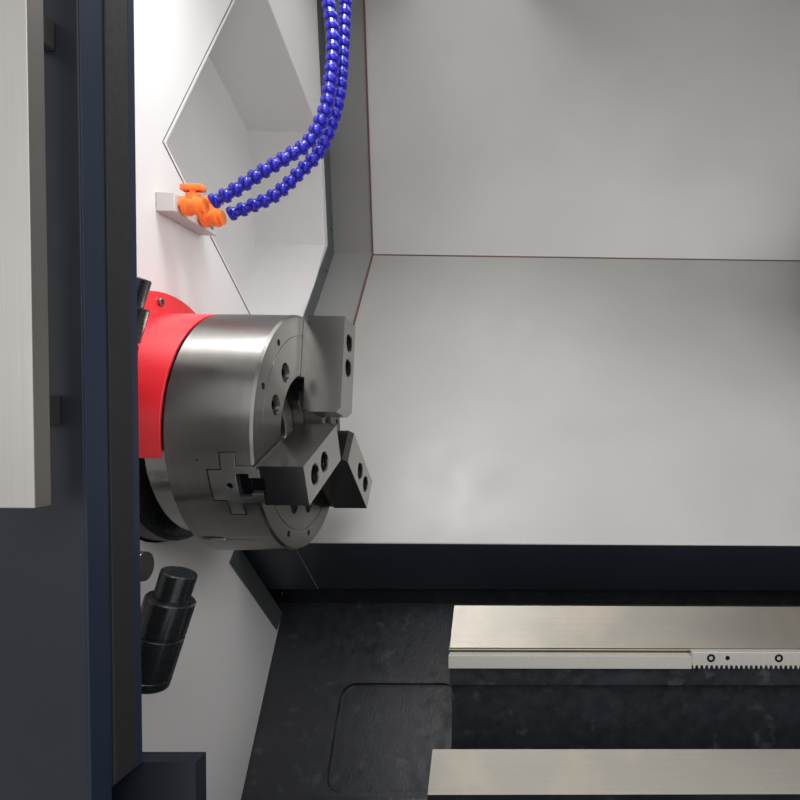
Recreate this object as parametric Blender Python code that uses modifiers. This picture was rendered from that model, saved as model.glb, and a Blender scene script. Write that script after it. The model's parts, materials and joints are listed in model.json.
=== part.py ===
"""A slant-bed CNC turning lathe.

Metres, +Z up.  X runs along the spindle towards the tailstock, Y towards the back of the
machine.  The origin lies on the floor under the front middle foot, straight below the spindle
axis at the chuck's face.  Heights in a cross-section are written from the spindle axis.
"""
from math import atan2, cos, hypot, pi, radians, sin

import bmesh
import bpy
from mathutils import Matrix, Vector

for old in list(bpy.data.objects):
    bpy.data.objects.remove(old, do_unlink=True)

# Clearances and sheet gauges
GAP = 0.0003
SHEET = 0.002
WALL_SHEET = 0.003

# Machine envelope
SPINDLE_HEIGHT = 1.05
LEFT_END = -1.0
RIGHT_END = 1.74
FRONT_FACE = -0.257
REAR_FACE = 1.0
ROOF_HEIGHT = 0.93
ROOF_DEPTH = 0.62
REAR_SHOULDER = 0.30
SKIRT_BOTTOM = -0.95

# Chuck
CHUCK_RADIUS = 0.127
CHUCK_LENGTH = 0.079
CHUCK_CHAMFER = 0.002
CHUCK_MOUTH_RADIUS = 0.062
CHUCK_MOUTH_DEPTH = 0.0205
CHUCK_CAVITY_RADIUS = 0.052
CHUCK_BACK_WALL = 0.008
CHUCK_TURN = 8.2
JAW_COUNT = 3

# Master jaws: a cross-shaped section, from the face inwards
MASTER_INNER = 0.0585
MASTER_OUTER = 0.1350
MASTER_STAND = 0.0043
MASTER_NECK_HALF = 0.0190
MASTER_NECK_DEPTH = 0.0165
MASTER_WING_HALF = 0.0315
MASTER_WING_DEPTH = 0.0296
MASTER_FOOT_HALF = 0.0154
MASTER_FOOT_DEPTH = 0.0417
WING_RELIEF = 0.0005
JAW_SLOT_CLEARANCE = 0.0004
NUT_SLOT_HALF = 0.0120
NUT_SLOT_NECK_HALF = 0.0080
NUT_SLOT_TOP = 0.006
NUT_SLOT_BOTTOM = 0.0175

# Top jaws
TOP_JAW_INNER = 0.0207
TOP_JAW_OUTER = 0.1265
TOP_JAW_WIDTH = 0.040
TOP_JAW_HEIGHT = 0.0404
TOP_JAW_TIP_CHAMFER = 0.006
TOP_JAW_BOLTS = (0.0735, 0.1020)
TOP_JAW_COUNTERBORE = 0.0110
TOP_JAW_BOLT_HOLE = 0.0065
COUNTERBORE_DEPTH = 0.022
NUT_INNER = 0.062
NUT_OUTER = 0.112

# Spindle, its bearings and the clamping cylinder
SPINDLE_NOSE_X = -0.110
SPINDLE_REAR_X = -0.930
SPINDLE_BORE = 0.033
SPINDLE_NOSE_RADIUS = 0.0825
SPINDLE_NOSE_LENGTH = 0.024
SPINDLE_BODY_RADIUS = 0.060
BEARING_OUTER = 0.090
BEARING_WIDTH = 0.060
PULLEY_RADIUS = 0.095
PULLEY_X = (-0.800, -0.720)
CYLINDER_RADIUS = 0.100
CYLINDER_FRONT_X = -0.815
DRAW_TUBE_RADIUS = 0.0325
DRAW_TUBE_BORE = 0.027
PLUNGER_RADIUS = 0.050
PLUNGER_X = (-0.0575, -0.0310)
ADAPTER_RADIUS = 0.108
CAP_RADIUS = 0.118
CAP_BORE = 0.0845
CAP_FRONT_X = -0.125
CAP_BOLT_CIRCLE = 0.104
CAP_BOLTS = 8

# Headstock casting
HEAD_X = (-0.700, -0.165)

# Drive
MOTOR_AXIS = (-0.125, -0.700)
MOTOR_RADIUS = 0.095
MOTOR_X = (-0.7150, -0.420)
MOTOR_SHAFT_RADIUS = 0.020
MOTOR_PULLEY_RADIUS = 0.055
BELT_THICKNESS = 0.007
BELT_EDGE = 0.010

# Left wall of the working area, with its recess
WALL_X = -0.150
WALL_BOTTOM = -0.60
WALL_TOP = 0.885
WALL_FRONT = -0.250
RECESS = ((0.004, 0.313), (0.218, 0.657), (0.485, 0.545), (0.512, 0.348), (0.330, 0.074))
RECESS_DEPTH = 0.130
TAIL_WALL_X = 1.200

# Back covers: three flat faces in cross-section
COVER_TOP = (0.492, 0.860)
COVER_RIDGE = (0.563, 0.345)
COVER_FOLD = (0.158, -0.152)
COVER_HEM = (0.255, -0.240)
STRIP_SHEET = 0.0015
COVER_SHEET = 0.002
STRIP_END_X = -0.071
LEFT_COVER_X = (-0.130, 0.820)
RIGHT_COVER_X = (1.090, 1.720)

# Slanted bed.  Points on the slant are (along, above): along the ways, above their top plane
WAY_DROP = 0.2601
BED_X = (-0.950, 1.620)
BED_FLOOR = -0.990
BED_FRONT = -0.020
BED_REAR = 0.950
BED_TOP_ABOVE = -0.025
BED_TOP_ALONG = (0.030, 0.500)
PLATEAU_CORNER = (0.309, -0.294)
PLATEAU_FOOT = (0.168, -0.511)
FRONT_FACE_TOP = -0.600
REAR_WAY_ALONG = (-0.1245, -0.065)
REAR_WAY_X = 0.147
REAR_WAY_FLANK = 0.0476
REAR_WAY_UNDERCUT = 0.022
FRONT_WAY_ALONG = (-0.293, -0.2462)
FRONT_WAY_X = 0.140
FRONT_WAY_DEPTH = 0.071
FOOT_ROWS = (0.0, 0.850)
FOOT_COLUMNS = (-0.850, 0.0, 0.780, 1.550)
FOOT_RADIUS = 0.050
FOOT_DISC = 0.016
FOOT_STEM = 0.018

# Rack on the rear way's front flank
RACK_MODULE = 0.002
RACK_X = (0.453, 1.080)
RACK_HEIGHT = 0.020
RACK_THICKNESS = 0.012
RACK_DROP = 0.0058
RACK_RELIEF = 0.018

# Rails and the carriage's ball screw
RAIL_ALONG = (0.110, 0.430)
RAIL_WIDTH = 0.034
RAIL_HEIGHT = 0.024
RAIL_X = (0.060, 1.560)
SCREW_ALONG = 0.270
SCREW_ABOVE = 0.010
SCREW_RADIUS = 0.016
SCREW_STEPS = 16
SCREW_BLOCKS = ((0.070, 0.100), (1.500, 1.540))
SCREW_BLOCK_HALF = 0.032
SERVO_SIZE = 0.080
SERVO_LENGTH = 0.110

# Saddle, cross slide and turret
SADDLE_X = (0.8205, 1.0895)
SADDLE_FOOT_X = (0.770, 1.130)
SADDLE_FOOT_ALONG = (0.050, 0.490)
SADDLE_FOOT_ABOVE = (-0.014, 0.034)
SADDLE_ALONG = (-0.015, 0.630)
SADDLE_TOP = 0.120
CROSS_X = (0.830, 1.070)
CROSS_ALONG = (0.190, 0.560)
CROSS_HEIGHT = 0.022
TURRET_ALONG = 0.400
TURRET_BODY_X = (0.8155, 1.030)
TURRET_BODY_RADIUS = 0.116
TURRET_DISC_X = (0.745, 0.815)
TURRET_DISC_RADIUS = 0.152
TURRET_STATIONS = 12

# Tailstock
TAIL_X = (0.860, 1.160)
TAIL_BARREL = 0.050
QUILL_RADIUS = 0.034
QUILL_X = (0.765, 1.120)
CENTRE_RADIUS = 0.026
CENTRE_TIP_X = 0.655
CENTRE_BODY_X = (0.695, 0.7647)
CENTRE_SHANK = 0.012
CENTRE_SHANK_LENGTH = 0.060

# Front panel and door
OPENING = ((-0.060, 0.620), (-0.060, -0.228), (0.018, -0.228), (0.018, -0.340),
           (0.920, -0.340), (0.920, 0.620))
OPENING_FLANGE = 0.012
DOOR_X = (-0.998, -0.018)
DOOR_OUTER = -0.310
DOOR_SKIN = 0.020
DOOR_INNER = -0.2589
DOOR_Z = (-0.360, 0.660)
DOOR_FRAME_BOTTOM = -0.228
DOOR_FRAME_WIDTH = 0.060
WINDOW_X = (-0.800, -0.200)
WINDOW_Z = (-0.100, 0.480)
GLASS = 0.010
TRACK_HEIGHT = 0.025
TRACK_X = (-0.998, 0.960)

# Door handle: a folded channel on two stand-offs
HANDLE_X = (-0.043, -0.022)
HANDLE_Z = (-0.038, 0.294)
HANDLE_FRONT = -0.3435
HANDLE_DEPTH = 0.012
HANDLE_SHEET = 0.0025
HANDLE_BRACKETS = ((0.008, 0.026), (0.230, 0.247))
HANDLE_BRACKET_X = (-0.0405, -0.0320)

# Coolant supply
BLOCK_Y = (-0.015, 0.072)
BLOCK_Z = (0.234, 0.254)
BLOCK_DEPTH = 0.020
HOSE_RADIUS = 0.0080
HOSE_NECK = 0.72
LINK_PITCH = 0.0125
VALVE_BODY = 0.0125
VALVE_LENGTH = 0.026
VALVE_STEM = 0.004
VALVE_SLOPE = 0.0005
VALVE_KNOB = (0.025, 0.011)
VALVE_KNOB_HEIGHT = 0.007
HOSE_ROUTES = (
    ((-0.1300, -0.002, 0.2440), (-0.1175, -0.002, 0.2440), (-0.1050, -0.001, 0.2460), (-0.0810, 0.0040, 0.2607),
     (-0.0506, 0.0140, 0.2877), (-0.0234, 0.0230, 0.3104), (-0.0037, 0.030, 0.3305),
     (0.0122, 0.033, 0.3656), (0.0170, 0.036, 0.4007), (0.0191, 0.040, 0.4477),
     (0.0128, 0.042, 0.4935), (0.0040, 0.043, 0.5350), (-0.0060, 0.043, 0.5700)),
    ((-0.1300, 0.0365, 0.2440), (-0.1175, 0.0365, 0.2440), (-0.1050, 0.037, 0.2460), (-0.0814, 0.0410, 0.2568),
     (-0.0506, 0.0480, 0.2750), (-0.0247, 0.056, 0.3048), (-0.0027, 0.060, 0.3323),
     (0.0112, 0.064, 0.3692), (0.0182, 0.068, 0.4063), (0.0206, 0.072, 0.4552),
     (0.0222, 0.075, 0.5155), (0.0215, 0.076, 0.5580), (0.0170, 0.076, 0.5980)),
)

# Guard over the chuck's adapter
GUARD_FLANGE = 0.150
GUARD_RADIUS = 0.127
GUARD_SHEET = 0.003
GUARD_END_X = -0.090
GUARD_LOWER_EDGE = -0.022

# Lamps
LAMP_Y = -0.150
LAMP_PIVOT = (-0.060, -0.132)
LAMP_TILT = 16.0
LAMP_RADIUS = 0.021
LAMP_LENGTH = 0.081
STEM_RADIUS = 0.013
STEM_RISE = 0.018
STEM_FLANGE = 0.030
UPPER_LAMP_PIVOT = (-0.097, 0.122)

# Trim strips round the wall's edge
TRIM_WIDTH = 0.030
TRIM_SHEET = 0.002

# Control panel on its swivel
PANEL_HINGE = (RIGHT_END - 0.265, -0.285)
PANEL_X = (PANEL_HINGE[0] - 0.455, PANEL_HINGE[0] - 0.025)
PANEL_Z = (0.120, 0.700)
PANEL_Y = (-0.400, -0.310)
HINGE_PIN = 0.009
LUG_SIZE = 0.026
SCREEN_X = (PANEL_X[0] + 0.050, PANEL_X[1] - 0.050)
SCREEN_Z = (PANEL_Z[0] + 0.260, PANEL_Z[1] - 0.050)
E_STOP = (PANEL_X[1] - 0.060, PANEL_Z[0] + 0.080)
START = (PANEL_X[1] - 0.150, PANEL_Z[0] + 0.080)
HANDWHEEL = (PANEL_X[0] + 0.110, PANEL_Z[0] + 0.100)
HANDWHEEL_RADIUS = 0.038

# Chip drawer and the pan under it
DRAWER_START = 0.050
DRAWER_Y = (-0.225, -0.045)
DRAWER_TOP = -0.730
DRAWER_FRONT_MARGIN = 0.012
PULL_WIDTH = 0.100
PULL_DEPTH = 0.030
PULL_HEIGHT = 0.020
PAN_Z = -0.962

machine = bpy.data.collections.new("cnc_turning_lathe")
cutters = bpy.data.collections.new("cutters")
bpy.context.scene.collection.children.link(machine)
bpy.context.scene.collection.children.link(cutters)

FINISHES = {
    "wall_paint": ((0.62, 0.61, 0.60), 0.45, 0.0),
    "cover_paint": ((0.40, 0.40, 0.40), 0.45, 0.1),
    "dark_paint": ((0.020, 0.027, 0.035), 0.45, 0.0),
    "cast": ((0.09, 0.10, 0.11), 0.6, 0.2),
    "ground_steel": ((0.55, 0.53, 0.50), 0.28, 1.0),
    "bright_steel": ((0.60, 0.58, 0.55), 0.20, 1.0),
    "guard_paint": ((0.60, 0.02, 0.03), 0.4, 0.0),
    "hose": ((0.01, 0.01, 0.35), 0.3, 0.0),
    "valve": ((0.90, 0.18, 0.02), 0.35, 0.0),
    "black": ((0.012, 0.012, 0.014), 0.4, 0.0),
    "glass": ((0.55, 0.60, 0.62), 0.05, 0.0),
    "stainless": ((0.55, 0.54, 0.52), 0.25, 1.0),
    "stop_red": ((0.70, 0.01, 0.01), 0.3, 0.0),
    "start_green": ((0.02, 0.45, 0.08), 0.3, 0.0),
    "belt": ((0.01, 0.01, 0.01), 0.8, 0.0),
}


def material(node, finish):
    """Give one sub-part its own material."""
    colour, roughness, metallic = FINISHES[finish]
    made = bpy.data.materials.new(node)
    made.use_nodes = True
    shader = made.node_tree.nodes["Principled BSDF"]
    shader.inputs["Base Color"].default_value = (*colour, 1.0)
    shader.inputs["Roughness"].default_value = roughness
    shader.inputs["Metallic"].default_value = metallic
    return made


def register(obj, finish):
    """Put a finished sub-part in the machine's collection with its material."""
    obj.data.materials.clear()
    obj.data.materials.append(material(obj.name, finish))
    for home in list(obj.users_collection):
        home.objects.unlink(obj)
    machine.objects.link(obj)
    if obj.type == "MESH":
        obj.data.shade_smooth()
        obj.data.set_sharp_from_angle(angle=radians(30))
    return obj


def as_cutter(obj):
    """Keep a helper solid out of the model."""
    for home in list(obj.users_collection):
        home.objects.unlink(obj)
    cutters.objects.link(obj)
    obj.hide_render = True
    obj.display_type = "WIRE"
    return obj


def mesh_object(name, shape):
    """An object in the machine's collection from a bmesh."""
    mesh = bpy.data.meshes.new(name)
    shape.to_mesh(mesh)
    shape.free()
    obj = bpy.data.objects.new(name, mesh)
    machine.objects.link(obj)
    return obj


def box(name, low, high):
    """A box between two corners; heights are from the spindle axis."""
    low = Vector(low)
    high = Vector(high)
    shape = bmesh.new()
    bmesh.ops.create_cube(shape, size=1.0)
    bmesh.ops.scale(shape, vec=high - low, verts=shape.verts)
    obj = mesh_object(name, shape)
    obj.location = (low + high) / 2 + Vector((0, 0, SPINDLE_HEIGHT))
    return obj


def cylinder(name, radius, ends, centre, axis="X", steps=32, top_radius=None):
    """A cylinder or cone along X, Y or Z.  centre holds the other two coordinates."""
    low, high = ends
    shape = bmesh.new()
    bmesh.ops.create_cone(shape, cap_ends=True, segments=steps, radius1=radius,
                          radius2=radius if top_radius is None else top_radius,
                          depth=high - low)
    obj = mesh_object(name, shape)
    middle = (low + high) / 2
    if axis == "X":
        obj.rotation_euler = (0, pi / 2, 0)
        obj.location = (middle, centre[0], centre[1] + SPINDLE_HEIGHT)
    elif axis == "Y":
        obj.rotation_euler = (-pi / 2, 0, 0)
        obj.location = (centre[0], middle, centre[1] + SPINDLE_HEIGHT)
    else:
        obj.location = (centre[0], centre[1], middle + SPINDLE_HEIGHT)
    return obj


def flat_outline(name, loops, thickness):
    """A mesh plate from closed 2D outlines; an inner outline makes a hole."""
    curve = bpy.data.curves.new(name, "CURVE")
    curve.dimensions = "2D"
    curve.fill_mode = "BOTH"
    curve.extrude = thickness / 2
    for loop in loops:
        spline = curve.splines.new("POLY")
        spline.points.add(len(loop) - 1)
        for point, (x, y) in zip(spline.points, loop):
            point.co = (x, y, 0, 1)
        spline.use_cyclic_u = True
    guide = bpy.data.objects.new(name, curve)
    machine.objects.link(guide)
    return to_mesh(guide)


def to_mesh(curve_object):
    """Turn a curve object into a closed mesh object of the same name and place."""
    graph = bpy.context.evaluated_depsgraph_get()
    name = curve_object.name
    mesh = bpy.data.meshes.new_from_object(curve_object.evaluated_get(graph))
    place = curve_object.matrix_world.copy()
    bpy.data.objects.remove(curve_object, do_unlink=True)
    shape = bmesh.new()
    shape.from_mesh(mesh)
    bmesh.ops.remove_doubles(shape, verts=shape.verts, dist=0.00001)
    bmesh.ops.recalc_face_normals(shape, faces=shape.faces)
    shape.to_mesh(mesh)
    shape.free()
    obj = bpy.data.objects.new(name, mesh)
    obj.matrix_world = place
    machine.objects.link(obj)
    return obj


def section(name, loops, ends):
    """A cross-section drawn as (Y, height) outlines, extruded along X between two ends."""
    low, high = ends
    obj = flat_outline(name, loops, high - low)
    obj.rotation_euler = (pi / 2, 0, pi / 2)
    obj.location = ((low + high) / 2, 0, SPINDLE_HEIGHT)
    return obj


def front_plate(name, loops, ends):
    """A plate drawn from the front as (X, height) outlines, between two Y values."""
    low, high = ends
    obj = flat_outline(name, loops, high - low)
    obj.rotation_euler = (pi / 2, 0, 0)
    obj.location = (0, (low + high) / 2, SPINDLE_HEIGHT)
    return obj


def turned(name, profile, steps=32, centre=(0.0, 0.0)):
    """A shape turned about a line along X.

    The profile is a closed list of (radius, x), running along the outer side from the highest
    x to the lowest and back along the bore, or between two points on the axis.
    """
    mesh = bpy.data.meshes.new(name)
    points = [(radius, 0, x) for radius, x in profile]
    edges = [(i, i + 1) for i in range(len(points) - 1)]
    if profile[0][0] > 0:
        edges.append((len(points) - 1, 0))
    mesh.from_pydata(points, edges, [])
    obj = bpy.data.objects.new(name, mesh)
    machine.objects.link(obj)
    obj.rotation_euler = (0, pi / 2, 0)
    obj.location = (0, centre[0], centre[1] + SPINDLE_HEIGHT)
    screw = obj.modifiers.new("turn", "SCREW")
    screw.steps = steps
    screw.render_steps = steps
    screw.use_merge_vertices = True
    screw.merge_threshold = 0.00001
    return obj


def combine(target, tool, operation):
    """Join, cut or intersect a sub-part with a helper solid."""
    change = target.modifiers.new(operation.lower(), "BOOLEAN")
    change.operation = operation
    change.object = as_cutter(tool)
    return target


def join(target, *tools):
    for tool in tools:
        combine(target, tool, "UNION")
    return target


def cut(target, *tools):
    for tool in tools:
        combine(target, tool, "DIFFERENCE")
    return target


def slant(along, above):
    """A (Y, height) point from a place along the slanted ways and above their top plane."""
    side = above - WAY_DROP
    return ((along - side) / 2 ** 0.5, (along + side) / 2 ** 0.5)


def slanted_box(name, along, above, ends):
    """A box whose section lies square to the slanted bed."""
    corners = [slant(along[0], above[0]), slant(along[1], above[0]),
               slant(along[1], above[1]), slant(along[0], above[1])]
    return section(name, [corners], ends)


def offset_path(points, distance):
    """An open path moved sideways by a distance, to the right of its direction."""
    moved = []
    for i, point in enumerate(points):
        before = Vector(points[max(i - 1, 0)])
        here = Vector(point)
        after = Vector(points[min(i + 1, len(points) - 1)])
        first = (here - before).normalized() if i else (after - here).normalized()
        second = (after - here).normalized() if i < len(points) - 1 else first
        normal = Vector((first.y + second.y, -first.x - second.x))
        normal.normalize()
        scale = distance / normal.dot(Vector((first.y, -first.x)))
        moved.append(tuple(here + normal * scale))
    return moved


def sheet_section(points, near, far):
    """A closed outline for a folded sheet between two offsets of its path."""
    return offset_path(points, near) + list(reversed(offset_path(points, far)))


def grow(loop, distance):
    """A closed convex outline, drawn clockwise, with every side moved outwards."""
    count = len(loop)
    grown = []
    for i in range(count):
        before = Vector(loop[i - 1])
        here = Vector(loop[i])
        after = Vector(loop[(i + 1) % count])
        first = (here - before).normalized()
        second = (after - here).normalized()
        normal = Vector((-first.y - second.y, first.x + second.x)).normalized()
        scale = distance / normal.dot(Vector((-first.y, first.x)))
        grown.append(tuple(here + normal * scale))
    return grown


def ring_points(radius, count, centre=(0.0, 0.0), start=0.0):
    """Points round a circle."""
    angles = [start + 2 * pi * i / count for i in range(count)]
    return [(centre[0] + radius * cos(a), centre[1] + radius * sin(a)) for a in angles]


COVER_PATH = (COVER_TOP, COVER_RIDGE, COVER_FOLD, COVER_HEM)


def make_bed():
    corner = Vector(PLATEAU_CORNER)
    foot = Vector(PLATEAU_FOOT)
    body = [(BED_FRONT, BED_FLOOR), (BED_FRONT, FRONT_FACE_TOP), tuple(foot), tuple(corner),
            slant(BED_TOP_ALONG[0], -0.166), slant(BED_TOP_ALONG[0], BED_TOP_ABOVE),
            slant(BED_TOP_ALONG[1], BED_TOP_ABOVE), (0.660, 0.152), (0.740, -0.200),
            (BED_REAR, FRONT_FACE_TOP), (BED_REAR, BED_FLOOR)]
    bed = section("bed", [body], BED_X)
    top_front = slant(REAR_WAY_ALONG[0], 0.0)
    flank_foot = top_front[1] - REAR_WAY_FLANK
    web = top_front[0] + REAR_WAY_UNDERCUT
    rear_way = [slant(REAR_WAY_ALONG[1], 0.0), top_front, (top_front[0], flank_foot),
                (web, flank_foot), (web, FRONT_FACE_TOP + 0.040), (0.300, FRONT_FACE_TOP + 0.040),
                slant(REAR_WAY_ALONG[1], -0.175)]
    front_edge = slant(FRONT_WAY_ALONG[0], 0.0)
    front_way = [slant(FRONT_WAY_ALONG[1], 0.0), front_edge,
                 (front_edge[0], FRONT_FACE_TOP - 0.020), (0.060, FRONT_FACE_TOP - 0.020),
                 slant(FRONT_WAY_ALONG[1], -FRONT_WAY_DEPTH)]
    join(bed, section("rear_way", [rear_way], (REAR_WAY_X, BED_X[1] - 0.001)),
         section("front_way", [front_way], (FRONT_WAY_X, BED_X[1] - 0.001)))
    for index, ends in enumerate(SCREW_BLOCKS):
        block = slanted_box("screw_block_%d" % index,
                            (SCREW_ALONG - SCREW_BLOCK_HALF, SCREW_ALONG + SCREW_BLOCK_HALF),
                            (BED_TOP_ABOVE - 0.005, SCREW_ABOVE + SCREW_BLOCK_HALF - 0.006), ends)
        join(bed, block)
    bore = cylinder("screw_bore", (SCREW_RADIUS + GAP) / cos(pi / SCREW_STEPS), (0.02, BED_X[1] + 0.05),
                    slant(SCREW_ALONG, SCREW_ABOVE), steps=SCREW_STEPS)
    cut(bed, bore)
    rack_top = top_front[1] - RACK_DROP
    bar = box("rack_bar", (REAR_WAY_X + GAP, top_front[0] - GAP - RACK_THICKNESS, rack_top - RACK_HEIGHT),
              (RACK_X[0] - GAP, top_front[0] + RACK_THICKNESS, rack_top))
    join(bed, bar)
    for row, y in enumerate(FOOT_ROWS):
        for column, x in enumerate(FOOT_COLUMNS):
            tag = "%d_%d" % (row, column)
            stem = cylinder("stem_" + tag, FOOT_STEM,
                            (-SPINDLE_HEIGHT + FOOT_DISC / 2, BED_FLOOR + 0.010), (x, y), "Z", 12)
            disc = cylinder("disc_" + tag, FOOT_RADIUS,
                            (-SPINDLE_HEIGHT, -SPINDLE_HEIGHT + FOOT_DISC), (x, y), "Z", 16)
            join(bed, stem, disc)
    return register(bed, "cast")


def make_rack():
    """A rack with its teeth hanging down, under the ledge of the rear way."""
    pitch = pi * RACK_MODULE
    depth = 2.25 * RACK_MODULE
    way_edge = slant(REAR_WAY_ALONG[0], 0.0)
    top = way_edge[1] - RACK_DROP
    root = top - RACK_HEIGHT + depth
    teeth = int((RACK_X[1] - RACK_X[0]) / pitch)
    end = RACK_X[0] + teeth * pitch
    outline = [(RACK_X[0], top), (RACK_X[0], root)]
    for tooth in range(teeth):
        start = RACK_X[0] + tooth * pitch
        outline += [(start + 0.18 * pitch, root), (start + 0.38 * pitch, root - depth),
                    (start + 0.62 * pitch, root - depth), (start + 0.82 * pitch, root)]
    outline += [(end, root), (end, top)]
    back = way_edge[0] - GAP
    return register(front_plate("tailstock_rack", [outline], (back - RACK_THICKNESS, back)),
                    "ground_steel")


def make_rails():
    for name, along in zip(("lower_rail", "upper_rail"), RAIL_ALONG):
        low = BED_TOP_ABOVE + GAP
        outline = [slant(along - RAIL_WIDTH / 2, low), slant(along + RAIL_WIDTH / 2, low),
                   slant(along + RAIL_WIDTH / 2, low + RAIL_HEIGHT * 0.35),
                   slant(along + RAIL_WIDTH * 0.36, low + RAIL_HEIGHT * 0.55),
                   slant(along + RAIL_WIDTH / 2, low + RAIL_HEIGHT * 0.8),
                   slant(along + RAIL_WIDTH / 2, low + RAIL_HEIGHT),
                   slant(along - RAIL_WIDTH / 2, low + RAIL_HEIGHT),
                   slant(along - RAIL_WIDTH / 2, low + RAIL_HEIGHT * 0.8),
                   slant(along - RAIL_WIDTH * 0.36, low + RAIL_HEIGHT * 0.55),
                   slant(along - RAIL_WIDTH / 2, low + RAIL_HEIGHT * 0.35)]
        register(section(name, [outline], RAIL_X), "ground_steel")


def make_headstock():
    """A casting whose foot stands on the bed's plateau, in front of the sliding covers."""
    foot = Vector(PLATEAU_FOOT)
    corner = Vector(PLATEAU_CORNER)
    run = corner - foot
    lift = Vector((-run.y, run.x)).normalized() * GAP
    outline = [tuple(foot + run * 0.03 + lift), tuple(foot + run * 0.72 + lift),
               (0.225, -0.262), (0.125, -0.150), (0.215, -0.040), (0.215, 0.120),
               (0.130, 0.175), (-0.130, 0.175), (-0.175, 0.130), (-0.175, -0.110),
               (0.010, -0.300), (0.060, -0.440)]
    head = section("headstock", [outline], HEAD_X)
    bore = turned("head_bore", [(0.0, HEAD_X[1] + 0.05), (BEARING_OUTER + GAP, HEAD_X[1] + 0.05),
                                (BEARING_OUTER + GAP, HEAD_X[1] - BEARING_WIDTH - GAP),
                                (0.075, HEAD_X[1] - BEARING_WIDTH - GAP),
                                (0.075, HEAD_X[0] + BEARING_WIDTH + GAP),
                                (BEARING_OUTER + GAP, HEAD_X[0] + BEARING_WIDTH + GAP),
                                (BEARING_OUTER + GAP, HEAD_X[0] - 0.05),
                                (0.0, HEAD_X[0] - 0.05)])
    cut(head, bore)
    register(head, "cast")
    for name, ends in (("front_bearing", (HEAD_X[1] - BEARING_WIDTH, HEAD_X[1] - 0.001)),
                       ("rear_bearing", (HEAD_X[0] + 0.001, HEAD_X[0] + BEARING_WIDTH))):
        ring = turned(name, [(BEARING_OUTER, ends[1]), (BEARING_OUTER, ends[0]),
                             (SPINDLE_BODY_RADIUS + GAP, ends[0]),
                             (SPINDLE_BODY_RADIUS + GAP, ends[1])])
        register(ring, "bright_steel")
    cap = turned("bearing_cap", [(CAP_RADIUS - 0.004, CAP_FRONT_X), (CAP_RADIUS, CAP_FRONT_X - 0.004),
                                 (CAP_RADIUS, HEAD_X[1] + GAP), (CAP_BORE, HEAD_X[1] + GAP),
                                 (CAP_BORE, CAP_FRONT_X)], 40)
    for index, centre in enumerate(ring_points(CAP_BOLT_CIRCLE, CAP_BOLTS, start=0.2)):
        cut(cap, cylinder("cap_hole_%d" % index, 0.006, (CAP_FRONT_X - 0.010, CAP_FRONT_X + 0.01),
                          centre, steps=8))
    register(cap, "black")


def make_spindle():
    pulley_low, pulley_high = PULLEY_X
    nose_back = SPINDLE_NOSE_X - SPINDLE_NOSE_LENGTH
    outer = [(SPINDLE_NOSE_RADIUS, SPINDLE_NOSE_X), (SPINDLE_NOSE_RADIUS, nose_back),
             (SPINDLE_BODY_RADIUS, nose_back), (SPINDLE_BODY_RADIUS, pulley_high),
             (PULLEY_RADIUS, pulley_high), (PULLEY_RADIUS, pulley_low),
             (SPINDLE_BODY_RADIUS, pulley_low), (SPINDLE_BODY_RADIUS, CYLINDER_FRONT_X),
             (CYLINDER_RADIUS, CYLINDER_FRONT_X), (CYLINDER_RADIUS, SPINDLE_REAR_X)]
    spindle = turned("spindle", outer + [(SPINDLE_BORE, SPINDLE_REAR_X),
                                         (SPINDLE_BORE, SPINDLE_NOSE_X)])
    register(spindle, "ground_steel")
    adapter = turned("adapter_plate",
                     [(ADAPTER_RADIUS, -CHUCK_LENGTH - GAP), (ADAPTER_RADIUS, SPINDLE_NOSE_X + GAP),
                      (SPINDLE_BORE, SPINDLE_NOSE_X + GAP), (SPINDLE_BORE, -CHUCK_LENGTH - GAP)], 40)
    register(adapter, "bright_steel")
    tube = turned("draw_tube", [(PLUNGER_RADIUS, PLUNGER_X[1]), (PLUNGER_RADIUS, PLUNGER_X[0]),
                                (DRAW_TUBE_RADIUS, PLUNGER_X[0]),
                                (DRAW_TUBE_RADIUS, SPINDLE_REAR_X - 0.020),
                                (DRAW_TUBE_BORE, SPINDLE_REAR_X - 0.020),
                                (DRAW_TUBE_BORE, PLUNGER_X[1])])
    register(tube, "ground_steel")


def jaw_angle(index):
    return radians(CHUCK_TURN - 360.0 * index / JAW_COUNT)


def place_jaw(obj, index):
    """Turn a jaw drawn upwards to its place round the spindle axis."""
    obj.matrix_world = Matrix.Translation((0, 0, SPINDLE_HEIGHT)) @ Matrix.Rotation(
        -jaw_angle(index), 4, "X") @ Matrix.Translation((0, 0, -SPINDLE_HEIGHT)) @ obj.matrix_basis
    return obj


def radial_prism(name, outline, span, index):
    """A prism along one jaw's radius, from an outline of (side, x) points."""
    obj = flat_outline(name, [outline], span[1] - span[0])
    local = Matrix(((0, 1, 0, 0), (-1, 0, 0, 0), (0, 0, 1, 0), (0, 0, 0, 1)))
    lift = Matrix.Translation((0, 0, SPINDLE_HEIGHT + (span[0] + span[1]) / 2))
    obj.matrix_basis = lift @ local
    return place_jaw(obj, index)


def master_outline(extra, stand):
    """The cross-shaped section of a master jaw, grown by a clearance."""
    neck = MASTER_NECK_HALF + extra
    wing = MASTER_WING_HALF + extra
    foot = MASTER_FOOT_HALF + extra
    neck_x = -MASTER_NECK_DEPTH + extra
    wing_x = -MASTER_WING_DEPTH - extra
    foot_x = -MASTER_FOOT_DEPTH - extra
    half = [(neck, stand), (neck, neck_x), (wing, neck_x - WING_RELIEF),
            (wing, wing_x + WING_RELIEF), (foot, wing_x), (foot, foot_x)]
    return half + [(-side, x) for side, x in reversed(half)]


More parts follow.
